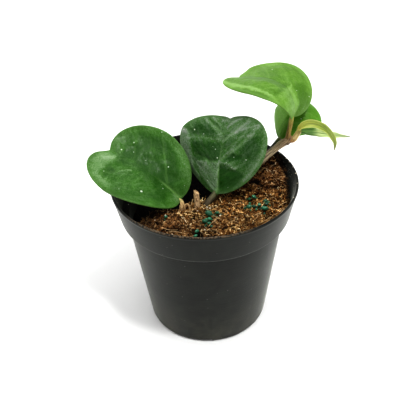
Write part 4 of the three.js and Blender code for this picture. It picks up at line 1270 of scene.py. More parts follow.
leafMiddle = {
    "name": "leaf_middle_blade", "node": "leaf_middle", "slot": "leaf_middle",
    "base": (5.3, -9.5, 78.4), "turn": (-9.9, 57.8, -32.7), "length": 36.8,
    "right": (24.5, 25.6, 6.5, 37.7, 1.64, 0.4), "left": (24.5, 25.6, 6.5, 37.7, 1.64, 0.4),
    "curl": (0.0014, 0.0007), "trough": (0.14, -0.42), "sideCurl": (-0.0075, 0.0101),
    "veins": [
        (1, 15.2, 0.74, 0.005, 0.8), (1, 19.2, 0.72, 0.003, 0.4), (1, 24.8, 0.8, 0.004, 0.8),
        (1, 29, 0.7, 0.0, 0.45), (1, 7.5, 0.45, 0.012, 0.15), (-1, 14.6, 0.05, 0.012, 0.35),
        (-1, 24, 0.24, -0.004, 0.4), (-1, 28, 0.62, 0.0, 0.7), (-1, 31.5, 0.5, 0.0, 0.4),
        (-1, 7, 0.3, 0.012, 0.1),
    ],
    "ribReach": 26, "ribFade": 0.6, "groove": 0.45, "quilt": 0.4, "lumps": (0.35, 0.12), "wrinkle": 0.2,
    "flow": 0.7, "seed": 6.1,
    "dents": [
        (7.0, 17.6, 4.2, 1.8, 0, -0.6), (5.5, 14.2, 3.2, 0.9, -8, 0.35), (8.5, 12.4, 2.4, 0.8, -15, 0.3),
        (-9, 20.5, 6, 3, 0, -0.35), (-18.5, 18, 2.5, 7, 15, 0.3), (8, 29.5, 5, 1.2, 8, -0.3),
        (-7, 32.2, 4, 1.0, 0, -0.25), (3, 34.2, 3.2, 0.9, 0, 0.3), (-14, 30, 4.5, 2.4, 0, -0.3),
    ],
    "regions": [
        ([(-15, 15), (-0.2, 15.2), (-0.2, 1), (-5, 2), (-11, 7)], 0.7, 0.5),
        ([(-24.5, 29), (-19.5, 28), (-17.5, 22), (-16, 14), (-12.5, 8), (-14, 5), (-19, 10),
          (-25, 22)], 1.2, 0.55),
        ([(0.4, 1), (0.4, 13), (7, 12), (13, 10), (12, 5), (5, 1)], 1.2, -0.75),
        ([(1.5, 16.3), (6, 19.3), (12, 18.6), (12.5, 16.6), (6, 15.8)], 0.7, -0.75),
        ([(-17, 23.5), (-0.5, 24), (-0.5, 15.8), (-14, 15.8)], 0.9, -0.5),
        ([(-18, 28), (-17, 32), (-10, 32), (-5, 28.5), (-12, 27.2)], 1.0, -0.4),
        ([(8, 21), (12, 25), (22, 30), (23, 24), (19, 17), (13, 17)], 1.5, -0.25),
        ([(3, 27), (22, 32.5), (18, 35), (5, 38), (-3, 35)], 2, 0.36),
        ([(-3, 33), (-12, 36), (-6, 38), (2, 37)], 1.2, 0.35),
        ([(21.5, 20), (24.5, 24), (24, 31), (22.5, 30)], 0.8, 0.4),
    ],
    "strokes": [
        ([(0.5, 16.2), (6, 19.6), (11, 23), (15.5, 27.5), (19, 31.5)], 1.3, 0.5),
        ([(4, 19.5), (9, 24.5), (13, 30)], 0.9, 0.3), ([(1, 25.2), (5, 28), (9, 31.5), (13, 35)], 1.1, 0.42),
        ([(0.5, 31.5), (4, 34), (8, 36)], 0.6, 0.45),
        ([(-1, 27), (-6, 30.5), (-10, 33.5), (-14, 35.5)], 0.9, 0.45),
        ([(-2, 31), (-6, 34), (-9, 36.5)], 0.6, 0.4),
        ([(-20, 25), (-12, 26.2), (-4, 25.6), (-0.5, 25)], 0.8, 0.35),
        ([(0.3, 14.6), (3, 14.6), (6, 14), (9, 12.4)], 0.8, 0.5),
        ([(5, 12.2), (8, 12.0), (10, 12.6)], 0.5, 0.5),
        ([(10, 4.3), (15, 8.5), (20, 15), (23, 21)], 1.0, 0.6), ([(0, 1), (-0.2, 8), (-0.3, 15.5)], 0.5, 0.5),
        ([(7, 29), (13, 31), (19, 33)], 0.5, 0.35), ([(6, 26.5), (14, 27.5), (21, 28.5)], 0.7, 0.3),
        ([(-23, 28.6), (-21.6, 28.2)], 1.0, 0.8),
    ],
    "specks": [
        (-1.5, 16.8, 0.36), (-3.3, 20.8, 0.27), (-17, 29.1, 0.32), (7.7, 17.6, 0.29), (7.5, 12.7, 0.29),
        (14.4, 16.8, 0.29), (-22.6, 28.4, 0.36), (-6.5, 5.7, 0.25), (4.6, 14.8, 0.22), (-11.5, 27.6, 0.22),
        (-5, 22, 0.16), (17, 30.4, 0.14),
    ],
    "deep": (0.010, 0.057, 0.002), "fresh": (0.040, 0.134, 0.012), "pale": (0.38, 0.38, 0.385),
    "under": (0.12, 0.22, 0.075), "rib": (0.12, 0.22, 0.075),
    "roughness": 0.42, "margin": 0.3, "bloomAndSheen": 0.2, "softFold": 2.0, "gloss": 0.22, "grain": 0.75,
    "streaks": 0.25,
}

leafUpper = {
    "name": "leaf_upper_blade", "node": "leaf_upper", "slot": "leaf_young",
    "base": (41.7, 9.4, 107.4), "turn": (84.7, 115.5, -25.8), "length": 39.3,
    "right": (19.5, 22.0, 8.2, 38.5, 1.67, 0.51), "left": (19.7, 20.1, 9.1, 43.0, 1.62, 0.49),
    "curl": (0.1181, -0.0032), "trough": (0.33, 0.12), "sideCurl": (0.054, 0.0128),
    "veins": [
        (1, 14, 0.55, 0.01, 0.35), (-1, 13, 0.4, 0.01, 0.35), (1, 24, 0.6, 0.005, 0.3),
        (-1, 22, 0.6, 0.0, 0.3),
    ],
    "ribReach": 14, "ribFade": 1.0, "groove": 0.15, "quilt": 0.08, "lumps": (0.2, 0.05), "wrinkle": 0.06,
    "flow": 0.7, "seed": 4.4, "dents": [(7.5, 8.5, 3.5, 3.0, 0, -0.3)],
    "regions": [
        ([(-14, 14), (4.5, 14.5), (1.2, 2.0), (-8, 3), (-13, 7)], 0.8, 0.38),
        ([(2.5, 13), (8, 14.5), (12, 11), (11, 5), (6, 3), (2, 3)], 1.5, -0.5),
        ([(-15.5, 15.6), (3, 17.0), (3, 15.2), (-14, 14.4)], 0.6, -0.45),
        ([(-15.8, 12), (-14.2, 30), (-10, 43), (-12, 44), (-16, 34), (-17.2, 22)], 0.8, 0.7),
        ([(-21, 30), (-20, 14), (-17.4, 16), (-16.8, 36), (-19, 38)], 0.8, -0.7),
        ([(13, 30), (17, 38), (20, 30), (17.5, 24)], 1.5, 0.35),
        ([(-8, 24), (8, 32), (12, 24), (-2, 18)], 3, -0.2),
        ([(-7, 16), (-0.2, 16), (-0.2, 38), (-7, 36)], 1.0, -0.4),
        ([(0.2, 15.5), (5.5, 15.8), (3.2, 8), (1.0, 1.5), (0.2, 1.5)], 0.8, 0.3),
        ([(0.2, 17), (3, 17), (3, 36), (0.2, 36)], 1.0, 0.15),
    ],
    "strokes": [
        ([(-13, 10.5), (3, 11.5)], 0.5, -0.15), ([(-12, 6.5), (1, 7)], 0.5, 0.15),
        ([(-10, 28), (0, 31), (8, 34)], 0.8, 0.2),
    ],
    "specks": [
        (9.8, 26.6, 0.29), (4.5, 11.3, 0.25), (11, 7, 0.22), (17.8, 30, 0.22), (-16.8, 23.8, 0.18),
    ],
    "deep": (0.062, 0.160, 0.007), "fresh": (0.125, 0.262, 0.024), "pale": (0.36, 0.52, 0.24),
    "under": (0.20, 0.33, 0.09), "rib": (0.25, 0.42, 0.12),
    "roughness": 0.42, "margin": 0.3, "bloomAndSheen": 0.12, "softFold": 3.6, "gloss": 0.25, "grain": 0.25,
    "streaks": 0.4,
}

leafBack = {
    "name": "leaf_back_blade", "node": "leaf_back", "slot": "leaf_back",
    "base": (37.3, 15.4, 92.1), "turn": (-63.5, 72.7, 16.0), "length": 27.6,
    "right": (16.1, 19.5, 6.6, 29.9, 1.09, 0.4), "left": (15.0, 15.4, 7.0, 32.4, 1.66, 0.4),
    "curl": (0.0235, 0.003), "trough": (-0.17, -0.29), "sideCurl": (0.0116, 0.0457),
    "veins": [
        (1, 8, 0.7, 0.01, 0.4), (-1, 7, 0.6, 0.01, 0.4), (1, 16, 0.7, 0.0, 0.35), (-1, 15, 0.7, 0.0, 0.35),
    ],
    "ribReach": 30, "ribFade": 0.85, "groove": 0.3, "quilt": 0.14, "lumps": (0.2, 0.06), "wrinkle": 0.07,
    "flow": 0.7, "seed": 8.8, "dents": [(-7, 8, 3, 4, 0, 0.2)],
    "regions": [
        ([(-15, 2), (-15, 16), (-8, 22), (-0.5, 18), (-0.5, 1), (-6, 1)], 2.0, 0.95),
        ([(2, 2), (14, 6), (16, 20), (10, 29), (1, 30)], 2.0, -0.2),
        ([(-8, 6), (-8, 11), (-5, 12), (-4, 7)], 1.2, 0.35),
        ([(10, 8), (14, 14), (13, 20), (9, 14)], 1.0, 0.4),
        ([(13.5, 9), (16, 13), (15, 17), (14, 14)], 0.5, -0.5),
        ([(1, 20), (9, 20), (9, 29), (2, 29)], 2.5, -0.15),
    ],
    "strokes": [([(-14, 8), (-14, 15)], 0.7, -0.4), ([(-3, 1), (-2, 8), (-1.5, 14)], 0.6, -0.3)],
    "specks": [(4.9, 14.5, 0.29), (10.4, 18.5, 0.22)],
    "deep": (0.070, 0.190, 0.010), "fresh": (0.120, 0.296, 0.021), "pale": (0.35, 0.67, 0.13),
    "under": (0.2, 0.34, 0.09), "rib": (0.22, 0.38, 0.10),
    "roughness": 0.46, "margin": 0.3, "bloomAndSheen": 0.08, "softFold": 3.0, "gloss": 0.22, "grain": 0.7,
    "streaks": 0.6,
}


def bezier(p0, p1, p2, p3, steps, last):
    t = np.linspace(0, 1, steps + 1)[:steps + last, None]
    p0, p1, p2, p3 = (np.array(p, float) for p in (p0, p1, p2, p3))
    return (1 - t) ** 3 * p0 + 3 * (1 - t) ** 2 * t * p1 + 3 * (1 - t) * t * t * p2 + t**3 * p3


def halfOutline(half, length):
    width, widthAt, lobeAt, lobe, baseAngle, notchAngle = half
    bow, reach, turnIn = 0.55, 0.42 * widthAt, 0.4 * lobeAt
    start, widest, top, notch = (0, 0), (width, widthAt), (lobeAt, lobe), (0, length)
    leaveStart = (reach * math.sin(baseAngle), reach * math.cos(baseAngle))
    leaveWidest = (width, widthAt + (lobe - widthAt) * bow)
    reachTop = (lobeAt + (width - lobeAt) * bow, lobe)
    reachNotch = (turnIn * math.cos(notchAngle), length + turnIn * math.sin(notchAngle))
    first, second, third = blade["alongSteps"]
    return np.vstack([
        bezier(start, leaveStart, (width, 0.5 * widthAt), widest, first, 0),
        bezier(widest, leaveWidest, reachTop, top, second, 0),
        bezier(top, (lobeAt * (1 - bow), lobe), reachNotch, notch, third, 1),
    ])


def foldAngle(leaf, y):
    return leaf["trough"][0] + leaf["trough"][1] * np.clip(1 - y / 30, 0, 1)


def bentPoints(leaf, x, y):
    # flat leaf coordinates to the posed surface
    first, second = leaf["curl"]
    step = 0.25
    reach = np.arange(0, leaf["length"] + 12, step)
    slope = -(first * reach + second * reach**2 / 2)
    middle = (slope[1:] + slope[:-1]) / 2
    alongY = np.interp(y, reach, np.r_[0, np.cumsum(step * np.cos(middle))])
    alongZ = np.interp(y, reach, np.r_[0, np.cumsum(step * np.sin(middle))])
    angle = np.interp(y, reach, slope)
    curl = np.where(x < 0, *leaf["sideCurl"])
    fold = foldAngle(leaf, y)
    end = fold - curl * np.abs(x)
    across = np.sign(x) * (np.sin(fold) - np.sin(end)) / curl
    raised = (np.cos(end) - np.cos(fold)) / curl
    local = np.stack([across, alongY - raised * np.sin(angle), alongZ + raised * np.cos(angle)], -1)
    yaw, pitch, roll = (math.radians(a) for a in leaf["turn"])
    pose = Matrix.Rotation(yaw, 3, "Z") @ Matrix.Rotation(pitch, 3, "X") @ Matrix.Rotation(roll, 3, "Y")
    return local @ np.array(pose).T + np.array(leaf["base"])


def edgeDistance(x, y, outline):
    # from each point to the nearest side of the closed outline, in portions that fit the memory
    a, b = outline, np.roll(outline, -1, axis=0)
    step = b - a
    size = np.maximum((step**2).sum(1), 1e-9)
    spots = np.stack([x.ravel(), y.ravel()], 1)
    gaps = []
    for part in np.array_split(spots, 40):
        t = np.clip(((part[:, None] - a) * step).sum(2) / size, 0, 1)
        gaps.append(np.sqrt(((part[:, None] - a - t[..., None] * step) ** 2).sum(2).min(1)))
    return np.concatenate(gaps).reshape(x.shape)


def spotMask(x, y, cx, cy, along, across, turnBy):
    u, v = turnedAbout(x, y, cx, cy, turnBy)
    return np.exp(-((u / along) ** 2 + (v / across) ** 2))


def leafFlow(leaf, x, y):
    # millimetres along and across the side veins, and the half of the leaf
    rise = leaf["flow"]
    scale = math.sqrt(1 + rise * rise)
    out = np.abs(x)
    along, across = (out + rise * y) / scale, (y - rise * out - 0.012 * out**2) / scale
    return np.stack([along, across, np.where(x < 0, 1.0, 0.0)], -1)


def leafRelief(leaf, x, y, edge, tone):
    # height above the smooth blade and the strength of the veins, both on the flat leaf
    ribFade = 1 - leaf["ribFade"] * smoothStep(y, 0.5 * leaf["ribReach"], leaf["ribReach"])
    ribWidth = 0.5 + 0.55 * np.clip(1 - y / 14, 0, 1)
    vein = np.exp(-(x / ribWidth) ** 2) * ribFade
    height = -leaf["groove"] * np.exp(-(x / 0.9) ** 2) * ribFade
    nearest = np.abs(x)
    wander = 0.5 * bumps(x, y, 5.0, leaf["seed"] + 20, 2)
    for side, start, rise, bend, strength in leaf["veins"]:
        out = side * x
        centre = start + rise * out + bend * out**2
        away = np.abs(y + wander - centre) / np.sqrt(1 + (rise + 2 * bend * out) ** 2)
        on = smoothStep(out, 0, 1.2) * (1 - smoothStep(out, 13, 20)) * smoothStep(edge, 0.5, 4)
        vein = np.maximum(vein, np.exp(-(away / 0.42) ** 2) * on * strength * 0.8)
        height -= 0.22 * leaf["quilt"] / 0.4 * strength * np.exp(-(away / 0.7) ** 2) * on
        nearest = np.where(out > 0, np.minimum(nearest, away + (1 - strength) * 2.5), nearest)
    height += leaf["quilt"] * (smoothStep(nearest, 0.3, 4.5) - 0.4)
    flow = leafFlow(leaf, x, y)
    for size, amount in ((1.0, 1.0), (0.45, 0.4)):
        across = flow[..., 0] / 5 / size + 50 * flow[..., 2]
        height += amount * leaf["wrinkle"] * bumps(across, flow[..., 1] / size, 1.5, leaf["seed"] + 40, 2)
    big, small = leaf["lumps"]
    height += big * bumps(x, y, 6.5, leaf["seed"], 2) + small * bumps(x, y, 2.3, leaf["seed"] + 5, 2)
    for *spot, lift in leaf["dents"]:
        height += lift * spotMask(x, y, *spot)
    height += 0.22 * tone
    # the fold along the midrib is sharp near the stalk and rounded further out
    soft = leaf["softFold"] * smoothStep(y, 8, 18)
    height += foldAngle(leaf, y) * (np.sqrt(x * x + soft * soft) - np.abs(x) - 0.6 * soft)
    return height * smoothStep(edge, 0.2, 3.0), vein


def strokeDistance(x, y, line):
    # from each point to the nearest part of the open line
    line = np.asarray(line, float)
    best = np.full(x.shape, np.inf)
    for a, b in zip(line, line[1:]):
        step = b - a
        t = np.clip(((x - a[0]) * step[0] + (y - a[1]) * step[1]) / (step @ step), 0, 1)
        best = np.minimum(best, np.hypot(x - a[0] - t * step[0], y - a[1] - t * step[1]))
    return best


def leafTone(leaf, x, y):
    # -1 dark to 1 pale, from the marks on the flat leaf: painted shade, highlight and sheen with some of the
    # leaf's own tone
    wander = 0.7 * bumps(x, y, 2.6, leaf["seed"] + 60, 3)
    px, py = x + wander, y - wander
    tone = np.zeros_like(x)
    for outline, soft, amount in leaf["regions"]:
        outline = np.asarray(outline, float)
        inside = np.zeros(x.shape, bool)
        for (ax, ay), (bx, by) in zip(outline, np.roll(outline, -1, axis=0)):
            if ay != by:
                inside ^= ((ay > py) != (by > py)) & (px < (bx - ax) * (py - ay) / (by - ay) + ax)
        depth = strokeDistance(px, py, np.vstack([outline, outline[:1]])) * np.where(inside, 1, -1)
        tone += amount * smoothStep(depth, -soft, soft)
    for line, width, amount in leaf["strokes"]:
        tone += amount * np.exp(-(strokeDistance(x + 0.5 * wander, y, line) / width) ** 2)
    return np.clip(tone, -1, 1)


def leafSpecks(leaf, board, flat, mottle):
    # pale specks of lime and dust: a few listed and fine ones at random
    marks = None
    for x, y, radius in leaf["specks"]:
        away = (flat - (x, y, 0)).length()
        mark = (away + (mottle - 0.5) * radius).smooth(radius * 1.15, radius * 0.55)
        marks = mark if marks is None else marks.highest(mark)
    picked = board.cells(flat, 0.33, give="Color").part("X").smooth(0.72, 0.78)
    return marks.highest(board.cells(flat, 0.33).smooth(0.075, 0.03) * picked * 0.6)


def leafFinish(leaf):
    material, board = newMaterial(leaf["name"] + "Skin")
    uv = board.node("ShaderNodeUVMap", {"uv_map": "flat"})
    flat = (uv - (0.5, 0.1, 0)) * blade["flatScale"]
    edge, vein, tone, under = (board.attribute(key) for key in ("edge", "vein", "tone", "under"))
    flow = board.attribute("flow", give="Vector")
    cloud = board.noise(flat, 0.16, 3, 0.55)
    mottle = board.noise(flat, 0.7, 3, 0.6, 0.3)
    grain = board.noise(flat, 1.9, 3, 0.7)
    pores = board.cells(flat, 2.6)
    net = board.cells(flat + board.noise(flat, 0.8, 2) * 1.2, 0.62, "DISTANCE_TO_EDGE").smooth(0.07, 0.0)
    streak = board.noise(flow * (0.13, 0.42, 9.0), 1.0, 4, 0.62, 0.8)
    hair = board.noise(flow * (0.45, 2.0, 9.0), 1.0, 3, 0.6, 0.5)
    grainy = (grain - 0.5) * leaf["grain"]
    # the base colour follows the tone, so it carries the painted highlight and shade
    light = (cloud - 0.5) * 0.9 + (mottle - 0.5) * 0.5 + 0.45 + tone * 0.7
    light = light + (streak - 0.5) * leaf["streaks"] + grainy
    colour = board.blend(light.smooth(0.0, 1.0), leaf["deep"], leaf["fresh"])
    # pale bloom with painted sheen, stronger where the tone is pale
    bloomAndSheen = (streak * 0.35 + mottle * 0.25 + grain * 0.4).smooth(0.42, 0.64)
    colour = board.blend(bloomAndSheen * (tone * 1.3 + 1).highest(0) * leaf["bloomAndSheen"], colour, leaf["pale"])
    colour = board.blend(net * 0.10, colour, leaf["rib"])
    # painted sheen and highlight, paler where the tone is pale
    lit = (tone * 0.7 + (mottle - 0.5) * 0.25 + grainy).smooth(0.1, 1.0) * 0.75
    colour = board.blend(lit, colour, leaf["pale"])
    colour = board.blend(vein * 0.62, colour, leaf["rib"])
    colour = board.blend((1 - edge) ** 3 * leaf["margin"], colour, leaf["rib"])
    below = board.blend(light.smooth(0.1, 0.9), toned(leaf["under"], 0.7), leaf["under"])
    below = board.blend(vein * 0.7 + net * 0.15, below, toned(leaf["under"], 1.5))
    colour = board.blend(under, colour, below)
    marks = leafSpecks(leaf, board, flat, mottle) * (1 - under)
    colour = board.blend(marks * 0.75, colour, blade["speck"])
    rough = cloud.span(leaf["roughness"] - 0.06, leaf["roughness"] + 0.1)
    rough = rough + under * 0.22 + marks * 0.1 + vein * 0.05
    height = pores * 0.2 + mottle * 0.9 + net * -0.3 + hair * 0.5 + streak * leaf["streaks"] * 1.6
    normal = board.bump(marks, 0.14, board.bump(height, 0.07))
    board.finish({
        "Base Color": colour, "Roughness": rough, "Normal": normal, "Specular IOR Level": leaf["gloss"],
        "Coat Weight": 0.05, "Coat Roughness": 0.22, "Subsurface Weight": 0.08,
        "Subsurface Radius": (0.6, 1.0, 0.3), "Subsurface Scale": 1.2 * mm})
    return material


def bladeGrid(leaf):
    # the flat blade in columns from left to right and rows from foot to notch
    right, left = (halfOutline(leaf[half], leaf["length"]) for half in ("right", "left"))
    t = np.linspace(0, 1, blade["halfColumns"] + 1)
    t = 0.45 * t + 0.55 * (0.5 - 0.5 * np.cos(math.pi * t))  # closer columns at the midrib and at the margin
    columns = np.r_[-t[:0:-1], t][:, None]
    sides = np.where(columns[..., None] < 0, left[None], right[None])
    rib = leaf["length"] * np.linspace(0, 1, len(right))
    x, y = columns * sides[..., 0], rib + (sides[..., 1] - rib) * np.abs(columns)
    outline = np.vstack([right, (left * (-1, 1))[-2:0:-1]])
    return x, y, np.abs(columns), edgeDistance(x, y, outline)


def bladeSkins(leaf, x, y, out, edge, tone):
    # upper and lower surface, the way they face and the veins
    relief, vein = leafRelief(leaf, x, y, edge, tone)
    surface = bentPoints(leaf, x, y)
    facing = np.cross(np.gradient(surface, axis=0), np.gradient(surface, axis=1))
    for pole, beside in ((0, 1), (-1, -2)):  # foot and notch
        facing[:, pole] = facing[:, beside].mean(0)
        surface[:, pole] = surface[blade["halfColumns"], pole]
    facing /= np.linalg.norm(facing, axis=2, keepdims=True)
    thick = blade["thickness"] + (blade["marginThickness"] - blade["thickness"]) * out**3
    thick = np.broadcast_to(thick, x.shape).copy()
    thick[:, [0, -1]] = blade["marginThickness"]
    inward = np.clip(edge / blade["marginWidth"], 0, 1)
    drop = blade["marginDrop"] * (1 - np.sqrt(np.clip(1 - (1 - inward) ** 2, 0, 1)))
    keel = blade["keel"] * np.exp(-(x / blade["keelWidth"]) ** 2)
    keel = keel * (1 - 0.8 * smoothStep(y, 4, 30)) * smoothStep(edge, 0.3, 3)
    upper = surface + facing * (relief - drop)[..., None]
    lower = surface - facing * (thick - drop + keel + 0.25 * vein - 0.5 * relief)[..., None]
    return upper, lower, facing, vein


def makeLeaf(leaf):
    x, y, out, edge = bladeGrid(leaf)
    tone = leafTone(leaf, x, y)
    upper, lower, facing, vein = bladeSkins(leaf, x, y, out, edge, tone)
    half, columns, rows = blade["halfColumns"], len(x), x.shape[1] - 1
    # points of a skin: foot and notch, then the grid between them
    order = np.zeros((columns, rows + 1), int)
    order[:, rows] = 1
    order[:, 1:rows] = 2 + np.arange(columns * (rows - 1)).reshape(columns, rows - 1)
    total = 2 + columns * (rows - 1)

    def packed(grid):
        return np.concatenate([grid[half, [0, rows]], grid[:, 1:rows].reshape(-1, *grid.shape[2:])])

    faces = []
    for i in range(columns - 1):
        for j in range(rows):
            quad = [order[i, j], order[i + 1, j], order[i + 1, j + 1], order[i, j + 1]]
            faces.append(quad[:1] + quad[2:] if j == 0 else quad[:3] if j == rows - 1 else quad)
    faces += [[k + total for k in reversed(face)] for face in faces]
    flat = np.stack([x, y], 2)
    points, coords = [packed(upper), packed(lower)], [packed(flat)] * 2
    skins = {"edge": np.clip(edge / 6, 0, 1), "vein": vein, "tone": tone, "flow": leafFlow(leaf, x, y)}
    values = {key: [packed(grid)] * 2 for key, grid in skins.items()}
    values["under"] = [np.zeros(total), np.ones(total)]
    # round the margin, from the upper skin to the lower one
    loop = [(half, 0)] + [(columns - 1, j) for j in range(1, rows)] + [(half, rows)]
    loop += [(0, j) for j in range(rows - 1, 0, -1)]
    rim, around = tuple(np.array(loop).T), len(loop)
    middle, across = (upper[rim] + lower[rim]) / 2, (upper[rim] - lower[rim]) / 2
    outward = np.cross(np.roll(upper[rim], -1, 0) - np.roll(upper[rim], 1, 0), facing[rim])
    outward *= blade["marginRound"] / np.linalg.norm(outward, axis=1, keepdims=True)
    zero = np.zeros(around)
    rings = [order[rim].tolist()]
    for k in range(1, blade["rimSteps"]):
        part = k / blade["rimSteps"]
        points.append(middle + across * math.cos(math.pi * part) + outward * math.sin(math.pi * part))
        coords.append(flat[rim])
        start = 2 * total + (k - 1) * around
        rings.append(list(range(start, start + around)))
        margin = {"edge": zero, "vein": zero, "under": zero + part}
        for key in values:
            values[key].append(margin[key] if key in margin else skins[key][rim])
    rings.append((order[rim] + total).tolist())
    for first, second in zip(rings, rings[1:]):
        faces += [[first[k - 1], second[k - 1], second[k], first[k]] for k in range(around)]
    piece = meshPiece(leaf["name"], np.concatenate(points), faces, finish=leafFinish(leaf))
    pointValues(piece, **{key: np.concatenate(parts) for key, parts in values.items()})
    uv = np.concatenate(coords) / blade["flatScale"] + (0.5, 0.1)
    corners = np.zeros(len(piece.data.loops), int)
    piece.data.loops.foreach_get("vertex_index", corners)
    piece.data.uv_layers.new(name="flat").data.foreach_set("uv", uv[corners].astype(np.float32).ravel())
    settle(piece, leaf["slot"], leaf["node"])


for leaf in (leafLeft, leafMiddle, leafUpper, leafBack):
    makeLeaf(leaf)


# path: x, y, z and half the width; edgeFrom: where along the leaf its pale edges begin
tipLeaves = {
    "tip_leaf_front": {
        "path": [
            (44.9, 8.4, 100.4, 1.2), (45.9, 8.15, 102.3, 1.55), (47.4, 8, 103.6, 1.85),
            (49.7, 7.8, 104.3, 1.95), (52.5, 7.6, 104.1, 1.9), (55.5, 7.4, 102.8, 1.8), (58.4, 7, 100.7, 1.6),
            (60.6, 6.4, 97.8, 1.5), (62, 5.8, 94.9, 1.15), (62.3, 5.2, 91.4, 0.3),
        ],
        "slot": "tip_leaf", "twist": 0.75,
        "stops": [
            (0.0, (0.60, 0.50, 0.13)), (0.15, (0.42, 0.43, 0.09)), (0.5, (0.25, 0.31, 0.055)),
            (0.8, (0.30, 0.35, 0.09)), (1.0, (0.17, 0.20, 0.06)),
        ],
        "edgeColour": (0.50, 0.52, 0.20), "foldColour": (0.17, 0.22, 0.04), "edgeFrom": (-0.1, 0.0),
        "startEdge": 0.0,
    },
    "tip_leaf_back": {
        "path": [
            (44.4, 9.2, 99.4, 0.7), (46.1, 9.9, 99, 0.9), (48.2, 11, 98.2, 1.4), (52.5, 11.2, 97.7, 2.0),
            (56, 11.4, 97.2, 2.2), (59.8, 11.6, 96.4, 2.0), (63, 11.8, 95.6, 1.5), (66.9, 12, 94.9, 0.9),
            (70.8, 12.2, 94.4, 0.3),
        ],
        "slot": "tip_leaf_pale", "twist": 0.7,
        "stops": [
            (0.0, (0.12, 0.24, 0.05)), (0.3, (0.17, 0.31, 0.085)), (0.42, (0.52, 0.60, 0.28)),
            (0.7, (0.50, 0.60, 0.28)), (1.0, (0.32, 0.36, 0.24)),
        ],
        "edgeColour": (0.66, 0.71, 0.44), "foldColour": (0.05, 0.12, 0.025), "edgeFrom": (0.3, 0.5),
        "startEdge": 0.85,
    },
}


def tipFinish(name, tip):
    material, board = newMaterial(name + "Skin")
    along, over = board.attribute("along"), board.attribute("over")
    mottle = board.noise(board.place(), 0.9, 3, 0.6)
    streaks = board.noise(board.vector(over * 2.4, along * 1.2, 0.0), 2.2, 4, 0.6)
    colour = board.ramp(along, tip["stops"])
    dark = board.blend(1.0, colour, (0.5, 0.6, 0.44), "MULTIPLY")
    colour = board.blend(streaks.smooth(0.42, 0.58) * 0.8, colour, dark)
    edges = over.size().smooth(0.62, 1.0) * 0.6 * along.smooth(*tip["edgeFrom"])
    colour = board.blend(edges, colour, tip["edgeColour"])
    colour = board.blend((1 - over.size().smooth(0.0, 0.22)) * 0.45, colour, tip["foldColour"])
    start = over.smooth(0.3, 0.75) * (1 - along.smooth(0.28, 0.42)) * tip["startEdge"]
    colour = board.blend(start, colour, tip["foldColour"])
    normal = board.bump(streaks * 0.8 + mottle * 0.3, 0.1)
    board.finish({"Base Color": colour, "Roughness": mottle.span(0.36, 0.52), "Normal": normal,
                  "Subsurface Weight": 0.15, "Subsurface Radius": (0.9, 1.0, 0.3),
                  "Subsurface Scale": 1.5 * mm})
    return material


def sweepFrames(line):
    # side, up and ahead at each point, turned along the line as the CAD sweep does
    side = np.array([0.0, 1.0, 0.0])
    frames = []
    for k in range(len(line)):
        ahead = line[min(k + 1, len(line) - 1), :3] - line[max(k - 1, 0), :3]
        ahead /= np.linalg.norm(ahead)
        side = side - ahead * side.dot(ahead)
        side /= np.linalg.norm(side)
        frames.append((side.copy(), np.cross(ahead, side), ahead))
    return frames


def tipSection(halfWidth, at, sides):
    # folded section of a tip leaf: half the width across, the height and how far out, -1 to 1
    section = []
    for s in range(sides):
        a = 2 * math.pi * s / sides
        over = math.cos(a)
        u = halfWidth * over
        ripple = 0.10 * math.sin(at * 0.9 + (1.7 if u > 0 else 0)) * over**2
        thick = (0.16 + 0.16 * halfWidth) * (1 - 0.45 * abs(over) ** 1.5)
        v = thick * math.sin(a) + 0.7 * abs(u) - 0.25 * halfWidth + ripple * halfWidth
        if math.sin(a) > 0:  # midrib's groove
            v -= 0.10 * math.exp(-(u / 0.18) ** 2)
        section.append((u, v, over))
    return section


def makeTipLeaf(name, tip):
    line, sides = catmullRom(tip["path"], 12), 40
    frames, length = sweepFrames(line), lengthAlong(line)
    points, along, over = [], [], []
    for (side, up, _), point, at in zip(frames, line, length):
        twist = tip["twist"] * float(smoothStep(at / length[-1], -0.15, 0.3))
        across = side * math.cos(twist) + up * math.sin(twist)
        raised = up * math.cos(twist) - side * math.sin(twist)
        for u, v, out in tipSection(point[3], at, sides):
            points.append(point[:3] + across * u + raised * v)
            along.append(at / length[-1])
            over.append(out)
    faces = ringFaces(len(line), sides)
    for end, sign in ((0, -1), (len(line) - 1, 1)):
        points.append(line[end, :3] + frames[end][2] * sign * 0.35 * line[end, 3])
        along.append(length[end] / length[-1])
        over.append(0)
        ring = [end * sides + s for s in range(sides)]
        for pair in zip(ring, ring[1:] + ring[:1]):
            faces.append([len(points) - 1, *pair[::sign]])
    piece = meshPiece(name + "_blade", points, faces, finish=tipFinish(name, tip))
    pointValues(piece, along=along, over=over)
    settle(piece, tip["slot"], name)


for name, tip in tipLeaves.items():
    makeTipLeaf(name, tip)


# path: x, y, z and radius; cut: a point on the cut; cutTilt: in radians
stub = {
    "path": [(-3.6, -13.6, 64, 1.5), (-3.6, -13.4, 72, 1.5), (-3.75, -12.2, 77, 1.35),
             (-3.95, -10.4, 83.4, 1.2)],
    "cut": (-3.9, -10.6, 80.9),
    "cutTilt": 0.55,
    "bark": (0.72, 0.51, 0.29),
    "dark": (0.13, 0.075, 0.035),
    "pith": (0.85, 0.70, 0.48),
    "sides": 36,
    "hollow": [(0.82, 0.02), (0.62, -0.14), (0.3, -0.3)],  # the cut's rings: share of its width, height
}


